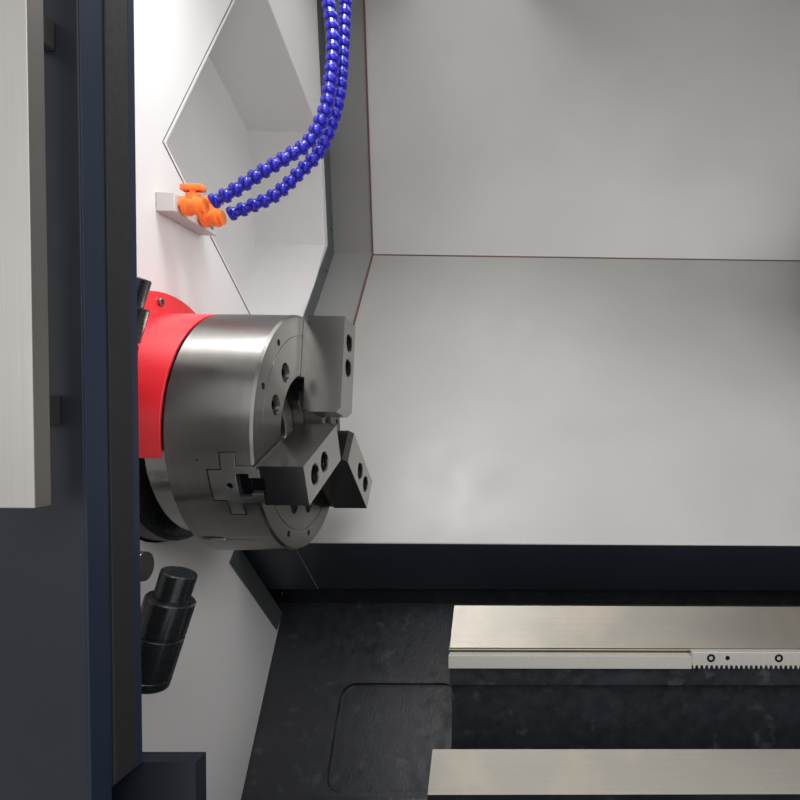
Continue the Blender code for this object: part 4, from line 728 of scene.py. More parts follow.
def make_top_jaw(index):
    """The hardened step jaw, with its bolt holes, key notch and bevelled tip."""
    number = index + 1
    place = jaw_matrix(index)
    low, high = TOP_JAW_X
    inner, outer = TOP_JAW_REACH
    profile = [(low, inner + 0.0045), (low + 0.0045, inner + 0.0009), (low + 0.0070, inner), (high, inner),
               (high, outer), (low, outer)]
    upright = Matrix(((1, 0, 0, 0), (0, 0, 1, -TOP_JAW_HALF), (0, 1, 0, 0), (0, 0, 0, 1)))
    jaw = prism("top_jaw_%d_finished" % number, profile, place @ upright, 2 * TOP_JAW_HALF, "jaw")
    tools = []
    for position in JAW_BOLTS:
        # The bore tools lay black oxide on the bores' walls: painted shade inside the bores.
        tools.append(bolt_rod("bore", place, (BOLT_SEAT, 0.06), position, COUNTERBORE, "oxide"))
        tools.append(bolt_rod("bore", place, (0.0, 0.03), position, BOLT_HOLE, "oxide"))
        tools.append(bolt_rod("flare", place, (high - 0.0012, high + 0.0002), position, BOLT_FLARE[0], "jaw",
                              BOLT_FLARE[1]))
    notch = mirrored([(0.0080, -0.01), (0.0080, 0.0080)])
    tools.append(radial_prism("key_notch", notch, (0.112, 0.140), index, "jaw"))
    chamfer = box_shape((-0.012, -0.03, -0.012), (0.012, 0.03, 0.012))
    turn = Matrix.Translation((high, 0, inner)) @ Matrix.Rotation(radians(45), 4, "Y")
    bmesh.ops.scale(chamfer, vec=(0.30, 1.0, 1.0), verts=chamfer.verts)
    bmesh.ops.transform(chamfer, matrix=place @ turn, verts=chamfer.verts)
    tools.append(add_object("tip", chamfer, "jaw"))
    carve(jaw, tools)
    round_edges(jaw, 0.0005, 2)
    seat(jaw, "jaw_%d" % number, "bright_steel", "top_jaw_%d" % number)


def make_jaw_fittings(index):
    """A jaw's bolts, the threads in their bores, the T-nut and the serrations."""
    number = index + 1
    place = jaw_matrix(index)
    pieces = []
    for position in JAW_BOLTS:
        spot = place @ Vector((BOLT_SEAT + HEAD_SINK, 0, position))
        pieces.append(add_screw("bolt", spot, TO_TAIL, *SOCKET_HEAD))
        thread = []
        for turn in range(THREAD_TURNS):
            start = THREAD_START + turn * THREAD_PITCH
            thread += [(start, THREAD_ROOT), (start + THREAD_PITCH / 3, THREAD_CREST),
                       (start + THREAD_PITCH * 2 / 3, THREAD_ROOT)]
        thread += [(thread[-1][0], THREAD_BACK), (THREAD_START, THREAD_BACK)]
        pieces.append(revolve("thread", thread, "oxide", (spot.y, spot.z), 40))
    near, far = NUT_REACH
    nut = block("nut", (-0.0172, -0.0117, near), (-0.0064, 0.0117, far), "oxide", 0.0006)
    neck = block("nut_neck", (-0.0066, -0.0077, near), (0.0044, 0.0077, far), "oxide", 0.0003, 1)
    for piece in (nut, neck):
        piece.data.transform(place)
        pieces.append(piece)
    count = int((TOP_JAW_REACH[1] - TEETH_START) / TOOTH_PITCH)
    end = TEETH_START + count * TOOTH_PITCH
    teeth = []
    for tooth in range(count):
        reach = TEETH_START + tooth * TOOTH_PITCH
        teeth += [(reach, 0.0), (reach + TOOTH_PITCH * 0.5, TOOTH_HEIGHT)]
    outline = teeth + [(end, 0.0), (end, -TOOTH_FOOT), (TEETH_START, -TOOTH_FOOT)]
    for side in (-TOP_JAW_HALF + 0.0008, TOP_JAW_HALF - 0.0032):
        local = place @ Matrix(((0, 1, 0, 0.0042), (0, 0, 1, side), (1, 0, 0, 0), (0, 0, 0, 1)))
        pieces.append(prism("serration", outline, local, 0.0024, "jaw_side"))
    seat(merge("jaw_%d_fittings" % number, pieces), "jaw_%d" % number, "bright_steel")


# The coolant hoses
HOSE_ROUTES = (
    ((-0.1300, -0.002, 0.2440), (-0.1175, -0.002, 0.2440), (-0.1050, -0.001, 0.2460),
     (-0.0810, 0.0040, 0.2607), (-0.0506, 0.0140, 0.2877), (-0.0234, 0.0230, 0.3104),
     (-0.0037, 0.030, 0.3305), (0.0122, 0.033, 0.3656), (0.0170, 0.036, 0.4007), (0.0191, 0.040, 0.4477),
     (0.0128, 0.042, 0.4935), (0.0040, 0.043, 0.5350), (-0.0060, 0.043, 0.5700)),
    ((-0.1300, 0.0365, 0.2440), (-0.1175, 0.0365, 0.2440), (-0.1050, 0.037, 0.2460),
     (-0.0814, 0.0410, 0.2568), (-0.0506, 0.0480, 0.2750), (-0.0247, 0.056, 0.3048),
     (-0.0027, 0.060, 0.3323), (0.0112, 0.064, 0.3692), (0.0182, 0.068, 0.4063), (0.0206, 0.072, 0.4552),
     (0.0222, 0.075, 0.5155), (0.0215, 0.076, 0.5580), (0.0170, 0.076, 0.5980)),
)
FIRST_LINK = 6
HANDLE_THICKNESS = 0.0068
TAP_PROFILE = ((0.0, 0.0), (0.0, 0.0066), (0.003, 0.0066), (0.0035, 0.0105), (0.0085, 0.0105),
               (0.0095, 0.0088), (0.0150, 0.0088), (0.0160, 0.0100), (0.0205, 0.0100), (0.0215, 0.0078),
               (0.0255, 0.0078), (0.0255, 0.0))
LINK_PROFILE = ((-0.0062, 0.0046), (-0.0060, 0.0062), (-0.0050, 0.0072), (-0.0030, 0.0078), (-0.0008, 0.0080),
                (0.0004, 0.0078), (0.0008, 0.0070), (0.0014, 0.0060), (0.0030, 0.0056), (0.0048, 0.0055),
                (0.0068, 0.0052))
NOZZLE_PROFILE = ((-0.0062, 0.0046), (-0.0055, 0.0070), (-0.0030, 0.0079), (0.0, 0.0079), (0.0010, 0.0066),
                  (0.0030, 0.0060), (0.0160, 0.0034), (0.0160, 0.0024), (0.0060, 0.0024))


def smooth_route(points, spacing):
    """Evenly spaced points on a smooth curve through a route's own points."""
    fine = []
    for i in range(len(points) - 1):
        before = Vector(points[max(i - 1, 0)])
        start = Vector(points[i])
        end = Vector(points[i + 1])
        after = Vector(points[min(i + 2, len(points) - 1)])
        for step in range(12):
            t = step / 12
            fine.append(0.5 * (2 * start + (end - before) * t
                               + (2 * before - 5 * start + 4 * end - after) * t ** 2
                               + (3 * start - before - 3 * end + after) * t ** 3))
    fine.append(Vector(points[-1]))
    even = [fine[0]]
    travelled = 0.0
    for before, here in zip(fine, fine[1:]):
        length = (here - before).length
        while travelled + length >= spacing:
            before = before.lerp(here, (spacing - travelled) / length)
            even.append(before)
            length = (here - before).length
            travelled = 0.0
        travelled += length
    return even


def add_link(shape, profile, place, steps=20):
    """Turn a profile of (along, radius) round a link's axis, into an open bmesh."""
    rings = [[shape.verts.new(place @ Vector((radius * cos(tau * i / steps), radius * sin(tau * i / steps),
                                              along))) for i in range(steps)]
             for along, radius in profile]
    join_rings(shape, rings)
    shape.faces.new(list(reversed(rings[0])))
    shape.faces.new(rings[-1])


def facing(here, there):
    """A place at one point, with its +Z towards another."""
    run = there - here
    return Matrix.Translation(here) @ run.to_track_quat("Z", "Y").to_matrix().to_4x4()


def make_hose(number, route):
    """One hose: its links and nozzle, its tap and the tap's handle."""
    lift = Vector((0, 0, SPINDLE_HEIGHT))
    even = [point + lift for point in smooth_route(route, LINK_PITCH / 2)]
    shape = bmesh.new()
    for index in range(FIRST_LINK, len(even) - 3, 2):
        add_link(shape, LINK_PROFILE, facing(even[index], even[index + 1]))
    add_link(shape, NOZZLE_PROFILE, facing(even[len(even) - 3], even[len(even) - 2]))
    hose = smooth(add_object("coolant_hose_%d_links" % number, shape, "hose"), 50.0)
    seat(hose, "root", "hose", "coolant_hose_%d" % number)

    start, centre = even[0], even[2]
    body = [(start.x + x, radius) for x, radius in TAP_PROFILE]
    tap = revolve("tap", body, "valve", (start.y, start.z), 40, closed=False)
    boss = rod("tap_boss", centre, (centre.x, centre.y, centre.z + 0.0118), 0.0075, "valve")
    seat(merge("tap_%d_body" % number, [tap, boss]), "root", "valve")
    low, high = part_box("valve_%d" % number)
    middle_x, middle_y = (low[0] + high[0]) / 2, (low[1] + high[1]) / 2
    foot = high[2] - HANDLE_THICKNESS
    top = block("handle", (low[0] + 0.0004, low[1] + 0.0004, foot),
                (high[0] - 0.0004, high[1] - 0.0004, high[2]), "valve", 0.0014, 3)
    grip = block("grip", (low[0] + 0.003, middle_y - 0.0022, foot),
                 (high[0] - 0.003, middle_y + 0.0022, high[2] - 0.0002), "valve", 0.0008)
    stem = rod("stem", (middle_x, middle_y, low[2]), (middle_x, middle_y, high[2] - 0.004), 0.004, "valve")
    seat(merge("valve_%d_finished" % number, [top, grip, stem]), BODY_OF["valve_%d" % number], "valve",
         "valve_%d" % number)


def make_coolant():
    low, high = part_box("coolant_block")
    spots = [(high[0] - 0.0012, y, low[2] + 0.008) for y in (low[1] + 0.010, high[1] - 0.010)]
    pieces = [block("body", low, high, "block", 0.0008, 2)] + screw_heads(spots, TO_TAIL, (0.0035, 0.0022))
    seat(merge("coolant_block_finished", pieces), "root", SLOT_OF["coolant_block"], "coolant_block")
    for index, route in enumerate(HOSE_ROUTES):
        make_hose(index + 1, route)


# Folded covers behind the working area
COVER_PATH = ((0.492, 0.860), (0.563, 0.345), (0.158, -0.152), (0.255, -0.240))
STRIP_SHEET = 0.0015
COVER_SHEET = 0.002
COVER_GAP = 0.0003
LIP_WIDTH = 0.0030
FOLD_RADIUS = 0.005


def rounded_path(points, radius, steps=5):
    """An open path with each inner corner rounded by an arc."""
    made = [Vector(points[0])]
    for before, here, after in zip(points, points[1:], points[2:]):
        here = Vector(here)
        back = (Vector(before) - here).normalized()
        ahead = (Vector(after) - here).normalized()
        start = here + back * radius
        end = here + ahead * radius
        for step in range(steps + 1):
            t = step / steps
            made.append(start * (1 - t) ** 2 + here * 2 * t * (1 - t) + end * t ** 2)
    made.append(Vector(points[-1]))
    return made


def offset_path(points, distance):
    """An open path moved sideways by a distance, with its corners kept sharp."""
    moved = []
    for i, here in enumerate(points):
        before = points[max(i - 1, 0)]
        after = points[min(i + 1, len(points) - 1)]
        first = (here - before).normalized() if i else (after - here).normalized()
        second = (after - here).normalized() if i < len(points) - 1 else first
        normal = Vector((first.y + second.y, -first.x - second.x)).normalized()
        moved.append(here + normal * (distance / normal.dot(Vector((first.y, -first.x)))))
    return moved


def sheet_section(name, path, near, far, ends, material):
    """A sheet along X, between two offsets from a path of (Y, height) points."""
    return section(name, offset_path(path, near) + offset_path(path, far)[::-1], ends, material)


def folded_sheet(name, near, far, ends, upper, middle, lower):
    """A cover with rounded folds, and a material for each leg."""
    sheet = sheet_section(name, rounded_path(COVER_PATH, FOLD_RADIUS), near, far, ends, upper)
    sheet.data.materials.append(MATERIALS[middle])
    sheet.data.materials.append(MATERIALS[lower])
    ridge, fold = (SPINDLE_HEIGHT + COVER_PATH[index][1] for index in (1, 2))
    for face in sheet.data.polygons:
        if abs(face.normal.x) < 0.5 and face.center.z < ridge:
            face.material_index = 1 if face.center.z > fold else 2
    return smooth(sheet, 25.0)


def make_covers():
    near = -STRIP_SHEET - COVER_GAP
    ridge = Vector(COVER_PATH[1])
    corner = [ridge + (Vector(COVER_PATH[end]) - ridge).normalized() * reach
              for end, reach in ((0, 0.0010), (1, 0.0), (2, 0.0010))]
    for node in ("left_cover", "right_cover"):
        low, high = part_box(node)
        ends = (low[0], high[0])
        # The lower leg takes a darker copy of the cover paint as painted shade; the hem takes the dark skirt
        # paint.
        cover = folded_sheet(node + "_sheet", near, near - COVER_SHEET, ends,
                             "cover", "cover_low_shaded", "skirt_and_shade")
        seat(cover, BODY_OF[node], SLOT_OF[node], node)
        seam = sheet_section(node + "_seam", corner, near + 0.0015, near - 0.0010, ends, "lip")
        seat(seam, BODY_OF[node], SLOT_OF[node])
    low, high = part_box("wiper_strip")
    edge = high[0] - LIP_WIDTH
    strip = folded_sheet("wiper_strip_sheet", 0.0, -STRIP_SHEET, (low[0], edge), "strip", "strip", "skirt_and_shade")
    path = [Vector(p) for p in COVER_PATH[:3]]
    lip = sheet_section("wiper_lip", path, 0.0012, -STRIP_SHEET, (edge, high[0]), "lip")
    seat(strip, "root", "cover_paint", "wiper_strip")
    seat(smooth(lip), "root", "belt")


TRIM_SCREWS = ((0.5160, 0.570), (0.5430, 0.390), (0.5160, 0.302), (0.2220, -0.194), (0.3000, -0.258))


def make_trims():
    finish_all(("upper_trim", "trim", 0.0004), ("lower_trim", "trim", 0.0004))
    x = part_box("upper_trim")[1][0]
    heads = screw_heads([(x, y, SPINDLE_HEIGHT + z) for y, z in TRIM_SCREWS], TO_TAIL, SMALL_HEAD)
    seat(merge("trim_screws", heads), "root", "ground_steel")


GUARD_END_X = -0.0820
GUARD_SCREW_RADIUS = 0.139
GUARD_SCREW_ANGLES = (-6.0, -48.0, -88.0)


def make_guard():
    def lengthen(piece):
        end = max(vertex.co.x for vertex in piece.data.vertices)
        for vertex in piece.data.vertices:
            if vertex.co.x > end - 0.0005:
                vertex.co.x = GUARD_END_X
    finish("chuck_guard", "guard", 0.0006, paint=lengthen)
    spots = [(WALL_X + 0.0033, *ring_point(GUARD_SCREW_RADIUS, angle)) for angle in GUARD_SCREW_ANGLES]
    seat(merge("guard_screws", screw_heads(spots, TO_TAIL, SMALL_HEAD)), "root", "guard_paint")


def make_spindle_parts():
    finish_all(("adapter_plate", "bright", 0.0012, 3), ("bearing_cap", "black", 0.0008),
               ("spindle", "bright", 0.001), ("draw_tube", "bright", 0.0008),
               ("front_bearing", "bright", 0.001), ("rear_bearing", "bright", 0.001),
               ("headstock", "cast", 0.008, 3), ("spindle_motor", "cast", 0.003),
               ("motor_pulley", "bright", 0.0008), ("drive_belt", "rubber", 0.0008))


# The recess in the wall behind the chuck, as (Y, height from the spindle's axis)
RECESS = ((0.004, 0.313), (0.218, 0.657), (0.485, 0.545), (0.512, 0.348), (0.330, 0.074))


def outline_apart(loop, distance):
    """A closed outline drawn clockwise, moved outwards."""
    wrapped = [Vector(p) for p in (loop[-1], *loop, loop[0])]
    return offset_path(wrapped, -distance)[1:-1]


def rim(name, inner, outer, ends, material):
    """A flat ring between two (Y, height) outlines, along X."""
    shape = bmesh.new()
    loops = [[shape.verts.new((x, y, SPINDLE_HEIGHT + z)) for y, z in outline]
             for x, outline in ((ends[0], outer), (ends[1], outer), (ends[1], inner), (ends[0], inner))]
    join_rings(shape, loops + loops[:1])
    bmesh.ops.recalc_face_normals(shape, faces=shape.faces)
    return smooth(add_object(name, shape, material))


def make_wall():
    """The two end walls of the working area, with a raised rim round the recess and a painted shadow line
    beside it.
    """
    finish_all(("headstock_wall", "wall", 0.0012, 3), ("tail_wall", "wall", 0.0008))
    inner, middle, outer = (outline_apart(RECESS, distance) for distance in (0.0006, 0.0034, 0.0044))
    bright = rim("rim", inner, middle, (WALL_X - 0.0003, WALL_X + 0.0010), "wall")
    # A flat dark ring beside the rim: a painted shadow line.
    dark = rim("line", middle, outer, (WALL_X - 0.0003, WALL_X + 0.0003), "skirt_and_shade")
    add_fittings("recess_rim", [bright, dark], "headstock_wall")


# The bed's ways, rack and plateau, with heights from the spindle's axis
WAY_NORMAL = Vector((0.0, -1.0, 1.0)).normalized()
WAY_EDGE = -0.27195
WAY_FLANK = 0.0959
FLANK_RISE = (-0.1225, -0.0905)
RACK_TOP = -0.27775
RACK_FOOT = -0.29775
BAR_LIFT = 0.0040
RACK_FACE = 0.0836
RACK_BAR_X = (0.146, 0.4535)
RACK_SCREWS = (0.477, 0.563, 0.660, 0.760)
RACK_PIN = 0.498
PLATEAU_Y = 0.168
PLATEAU_Z = SPINDLE_HEIGHT - 0.511
PLATEAU = Matrix(((1, 0, 0, 0), (0, 0.5448, -0.8385, PLATEAU_Y), (0, 0.8385, 0.5448, PLATEAU_Z),
                  (0, 0, 0, 1)))
POCKET_X = (-0.038, 0.138)
POCKET_RISE = (0.008, 0.154)
POCKET_CORNER = 0.022
POCKET_DEPTH = 0.014
PAD_SPANS = ((0.4287, 0.580), (0.593, 0.620))
PAD_RISE = (0.086, 0.150)


def rounded_box(across, up, radius, steps=6):
    """A rectangle with round corners."""
    outline = []
    for x, y, start in ((across[1] - radius, up[1] - radius, 0), (across[0] + radius, up[1] - radius, 90),
                        (across[0] + radius, up[0] + radius, 180), (across[1] - radius, up[0] + radius, 270)):
        for step in range(steps + 1):
            angle = radians(start + 90 * step / steps)
            outline.append((x + radius * cos(angle), y + radius * sin(angle)))
    return outline


def on_plateau(name, across, up, radius, drop, depth):
    """A block with round corners on the bed's sloping plateau."""
    return prism(name, rounded_box(across, up, radius), PLATEAU @ Matrix.Translation((0, 0, -drop)), depth,
                 "cast")


def bed_slot(face):
    """The material slot of one of the bed's faces: paint, ground way or rack bar."""
    x, y, z = face.center
    z -= SPINDLE_HEIGHT
    if (RACK_BAR_X[0] < x < RACK_BAR_X[1] and y < RACK_FACE + 0.012
            and RACK_TOP - 0.021 < z < RACK_TOP + 0.0001):
        return 2
    top = abs((z - y) / 2 ** 0.5 + WAY_DROP) < 0.0006 and face.normal.dot(WAY_NORMAL) > 0.99
    flank = (abs(face.normal.y) > 0.99 and x > 0.15 and y < 0.12
             and FLANK_RISE[0] < z < FLANK_RISE[1])
    return 1 if (top or flank) and face.area > 0.001 else face.material_index


def paint_bed(piece):
    """Sink the pocket, lift the rack bar's foot and give the ground faces their finish."""
    carve(piece, [on_plateau("pocket", POCKET_X, POCKET_RISE, POCKET_CORNER, POCKET_DEPTH, 0.04)])
    for vertex in piece.data.vertices:
        if (vertex.co.y < RACK_FACE + 0.0005 and abs(vertex.co.z - SPINDLE_HEIGHT - RACK_FOOT) < 0.0005
                and RACK_BAR_X[0] < vertex.co.x < RACK_BAR_X[1]):
            vertex.co.z += BAR_LIFT
    piece.data.materials.append(MATERIALS["ways"])
    piece.data.materials.append(MATERIALS["rack"])
    for face in piece.data.polygons:
        face.material_index = bed_slot(face)


def raise_crown(piece):
    """Lift the rack's foot and bring its top up to the way's edge."""
    for vertex in piece.data.vertices:
        if vertex.co.z > SPINDLE_HEIGHT + RACK_TOP - 0.0005:
            vertex.co.z = SPINDLE_HEIGHT + WAY_EDGE - 0.0006
        else:
            vertex.co.z += BAR_LIFT


def make_bed():
    """The casting with its ground ways, the rack with its screws, and the guide rails."""
    finish("bed", "cast", 0.0020, 3, paint_bed)
    height = SPINDLE_HEIGHT + RACK_TOP - 0.0020
    heads = screw_heads([(x, RACK_FACE + 0.0012, height) for x in RACK_SCREWS], TO_FRONT, (0.0052, 0.0022),
                        "oxide")
    heads.append(rod("pin", (RACK_PIN, RACK_FACE + 0.001, height), (RACK_PIN, RACK_FACE - 0.0003, height),
                     0.0028, "oxide"))
    seat(merge("rack_screws", heads), "root", "ground_steel")
    line = block("groove_line", (RACK_BAR_X[0], WAY_FLANK - 0.0006, SPINDLE_HEIGHT + WAY_EDGE - 0.0026),
                 (RACK_BAR_X[1], WAY_FLANK + 0.0006, SPINDLE_HEIGHT + WAY_EDGE - 0.0014), "stained", 0.0)
    seat(line, "root", "ground_steel")
    finish("tailstock_rack", "rack", 0.0004, paint=raise_crown)
    pads = [on_plateau("pad", across, PAD_RISE, 0.008, 0.001, 0.0055) for across in PAD_SPANS]
    seat(round_edges(merge("plateau_pads", pads), 0.0016, 2), "root", SLOT_OF["bed"])
    finish_all(("upper_rail", "rails", 0.0006), ("lower_rail", "rails", 0.0006))


def make_carriage():
    finish_all(("saddle", "cast", 0.004), ("cross_slide", "rails", 0.001), ("turret_body", "cast", 0.003),
               ("turret_disc", "rails", 0.001), ("z_screw", "rails", 0.0004), ("z_servo", "black", 0.003),
               ("tailstock_body", "cast", 0.004), ("tailstock_quill", "bright", 0.0006),
               ("live_centre", "bright", 0.0006))
    low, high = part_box("turret_disc")
    face, y, z = low[0], (low[1] + high[1]) / 2, (low[2] + high[2]) / 2
    profile = [(face, 0.0), (face - 0.004, 0.0), (face - 0.004, 0.042), (face - 0.002, 0.045),
               (face + 0.001, 0.045), (face + 0.001, 0.0)]
    pieces = [revolve("cap", profile, "bright", (y, z), 64, closed=False)]
    for index in range(TURRET_STATIONS):
        angle = tau * index / TURRET_STATIONS
        for radius, size in TURRET_SCREWS:
            spot = (face + HEAD_SINK, y + radius * sin(angle), z + radius * cos(angle))
            pieces.append(add_screw("head", spot, (-1, 0, 0), size, 0.0030, "oxide"))
    add_fittings("turret_screws", pieces, "turret_disc")


# The lamps; their profiles are (along, radius) from the pivot
LAMP_Y = -0.150
LAMP_TILT = 18.0
LAMP_SHIFT = 0.0035
LAMP_PIVOTS = {"lamp_head": (-0.060, -0.132), "upper_lamp": (-0.097, 0.122)}
LAMP_PROFILE = ((0.0140, 0.0134), (0.0130, 0.0145), (-0.0098, 0.0145), (-0.0100, 0.0190), (-0.0112, 0.0200),
                (-0.0395, 0.0200), (-0.0402, 0.0193), (-0.0402, 0.0184), (-0.0428, 0.0184), (-0.0428, 0.0193),
                (-0.0435, 0.0200), (-0.0780, 0.0200), (-0.0786, 0.0195), (-0.0798, 0.0195), (-0.0804, 0.0200),
                (-0.0872, 0.0200), (-0.0880, 0.0194), (-0.0880, 0.0174), (-0.0864, 0.0168))
LENS_PROFILE = ((-0.0860, 0.0168), (-0.0867, 0.0167), (-0.0873, 0.0145), (-0.0876, 0.0100), (-0.0877, 0.0040))


def make_lamps():
    finish("lamp_stem", "stainless", 0.0008)
    tilt = Matrix.Rotation(radians(LAMP_TILT), 4, "Y")
    for node, (x, z) in LAMP_PIVOTS.items():
        place = Matrix.Translation((x + LAMP_SHIFT, LAMP_Y, SPINDLE_HEIGHT + z)) @ tilt
        shape = bmesh.new()
        add_link(shape, LAMP_PROFILE, place, 64)
        seat(smooth(add_object(node + "_barrel", shape, "lamp")), BODY_OF[node], SLOT_OF[node], node)
        shape = bmesh.new()
        add_link(shape, LENS_PROFILE, place, 48)
        seat(smooth(add_object(node + "_lens", shape, "lens")), BODY_OF[node], SLOT_OF[node])


# The front and the outer sheets
DOOR_FRAME_BOTTOM = -0.228
WINDOW_X = (-0.800, -0.200)
WINDOW_Z = (0.950, 1.530)
GASKET_WIDTH = 0.014
GASKET_SCREWS_OUT = 0.026
GASKET_SCREWS_X = (-0.68, -0.50, -0.32)
GASKET_SCREWS_Z = (0.97, 1.10, 1.24, 1.38, 1.51)
DOOR_FACE = -0.310
FRONT_SKIN = -0.257
GROOVE_DEPTH = 0.0008
GROOVE_WIDTH = 0.002
VENT_PITCH = 0.016
VENT_HEIGHT = 0.007
GAUGE_Z = 0.985
GAUGES = ((1.14, 40.0), (1.28, -25.0))
GAUGE_RADIUS = 0.032
DIAL_RADIUS = 0.028
DIAL_MARKS = (0.021, 0.025)
KNOB_RADIUS = 0.014
KNOB_DROP = 0.070
PANEL_SCREWS_X = (1.000, 1.665)
PANEL_SCREWS_Z = (0.83, 1.07, 0.19, 0.73)


def grooved(boxes):
    """A paint step that cuts shallow grooves, vents and latch seats into a sheet; their walls and floors take
    the dark paint as painted shade.
    """
    def paint(piece):
        carve(piece, [add_object("groove", box_shape(low, high), "skirt_and_shade") for low, high in boxes])
    return paint


def groove_span(face, inward):
    """How deep a groove reaches from a sheet's outer face; inward is 1 or -1 along the axis."""
    return tuple(sorted((face - 0.001 * inward, face + GROOVE_DEPTH * inward)))


def sheet_box(axis, span, low, high):
    """A box in a sheet that lies across an axis, from two corners in the sheet's plane."""
    corners = [list(low), list(high)]
    for corner, level in zip(corners, span):
        corner.insert(axis, level)
    return corners


def outlined(axis, span, low, high):
    """The four grooves round a rectangle in a sheet."""
    half = GROOVE_WIDTH / 2
    boxes = []
    for across in (0, 1):
        for line in (low[across], high[across]):
            start, end = [value - half for value in low], [value + half for value in high]
            start[across], end[across] = line - half, line + half
            boxes.append(sheet_box(axis, span, start, end))
    return boxes


def vents(axis, span, ends, bottom, rows):
    """A stack of level slots in a sheet, from the lowest upwards."""
    boxes = []
    for row in range(rows):
        level = bottom + row * VENT_PITCH
        boxes.append(sheet_box(axis, span, (ends[0], level), (ends[1], level + VENT_HEIGHT)))
    return boxes


def make_sheets():
    """The outer sheets, each with its outlined panels and stacks of vents."""
    left = groove_span(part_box("cabinet_door")[0][0], 1)
    latch = sheet_box(0, left, (-0.165, 0.74), (-0.125, 0.86))
    for node, material, axis, span, panels, stacks, extra in (
            ("front_panel", "door", 1, groove_span(FRONT_SKIN, 1),
             (((0.975, 0.80), (1.690, 1.10)), ((0.975, 0.16), (1.690, 0.76)),
              ((-0.960, 0.16), (-0.060, 0.62))),
             (((1.06, 1.60), 0.24, 9),), []),
            ("roof", "wall", 2, groove_span(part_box("roof")[1][2], -1),
             (((-0.920, -0.180), (-0.120, 0.540)), ((0.900, -0.180), (1.660, 0.540))), (), []),
            ("rear_cover", "wall", 1, groove_span(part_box("rear_cover")[1][1], -1),
             (((-0.940, 0.20), (-0.100, 1.26)), ((0.000, 0.20), (0.800, 1.26)),
              ((0.900, 0.20), (1.680, 1.26))),
             (((-0.80, -0.24), 0.86, 14), ((1.04, 1.54), 0.30, 10)), []),
            ("right_end_cover", "wall", 0, groove_span(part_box("right_end_cover")[1][0], -1),
             (((0.040, 0.20), (0.900, 1.26)),), (((0.24, 0.70), 0.34, 10),), []),
            ("cabinet_door", "wall", 0, left,
             (((-0.200, 0.18), (0.900, 1.26)),), (((0.16, 0.56), 0.30, 12),), [latch])):
        boxes = []
        for low, high in panels:
            boxes += outlined(axis, span, low, high)
        for ends, bottom, rows in stacks:
            boxes += vents(axis, span, ends, bottom, rows)
        finish(node, material, 0.0, paint=grooved(boxes + extra))
    finish_all(("base_pan", "dark", 0.0006), ("chip_drawer", "dark", 0.0006), ("door_panel", "door", 0.0022),
               ("door_handle", "handle", 0.0006), ("door_window", "glass", 0.001))


def make_front():
    make_sheets()
    make_gasket()
    make_gauges()
    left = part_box("cabinet_door")[0][0]
    latch = block("cabinet_latch", (left + 0.0002, -0.160, 0.745),
                  (left + GROOVE_DEPTH + 0.0004, -0.130, 0.855), "black", 0.0)
    seat(latch, BODY_OF["cabinet_door"], SLOT_OF["cabinet_door"])
    low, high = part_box("door_panel")
    end, top = high[0], high[2]
    foot = SPINDLE_HEIGHT + DOOR_FRAME_BOTTOM
    strips = [block(name, (end - 0.002, near, bottom), (end + stand, far, top - gap), material, width)
              for name, near, far, bottom, gap, stand, material, width in (
                  ("seal", -0.2885, -0.2668, foot + 0.002, 0.003, 0.0012, "rubber", 0.0008),
                  ("edge", -0.2660, -0.2590, foot + 0.001, 0.002, 0.0006, "door_edge", 0.0004),
                  ("skin", -0.3095, -0.2905, low[2] + 0.001, 0.001, 0.0005, "door_edge", 0.0006))]
    seat(merge("door_end_strips", strips), "door", "dark_paint")


def frame_blocks(name, low, high, width, material):
    """Four bars round a rectangle in the front plane; low and high are its inner corners."""
    bars = []
    for start, end in (((low[0] - width, low[2] - width), (low[0], high[2] + width)),
                       ((high[0], low[2] - width), (high[0] + width, high[2] + width)),
                       ((low[0], low[2] - width), (high[0], low[2])),
                       ((low[0], high[2]), (high[0], high[2] + width))):
        bars.append(block(name, (start[0], low[1], start[1]), (end[0], high[1], end[1]), material, 0.0008, 2))
    return bars


def make_gasket():
    """The window's rubber frame and its screws, on the door's outer face."""
    pieces = frame_blocks("gasket", (WINDOW_X[0], DOOR_FACE - 0.0025, WINDOW_Z[0]),
                          (WINDOW_X[1], DOOR_FACE + 0.0010, WINDOW_Z[1]), GASKET_WIDTH, "rubber")
    sides, levels = ((span[0] - GASKET_SCREWS_OUT, span[1] + GASKET_SCREWS_OUT)
                     for span in (WINDOW_X, WINDOW_Z))
    spots = [(x, z) for x in sides for z in GASKET_SCREWS_Z]
    spots += [(x, z) for x in GASKET_SCREWS_X for z in levels]
    pieces += screw_heads([(x, DOOR_FACE + HEAD_SINK, z) for x, z in spots], TO_FRONT, (0.0045, 0.0022))
    add_fittings("window_gasket", pieces, "door_panel")


def standing_rod(name, x, z, start, end, radius, material, steps):
    """A round bar that stands out to the front, between two depths from the panel's face."""
    return rod(name, (x, FRONT_SKIN - start, z), (x, FRONT_SKIN - end, z), radius, material, steps)


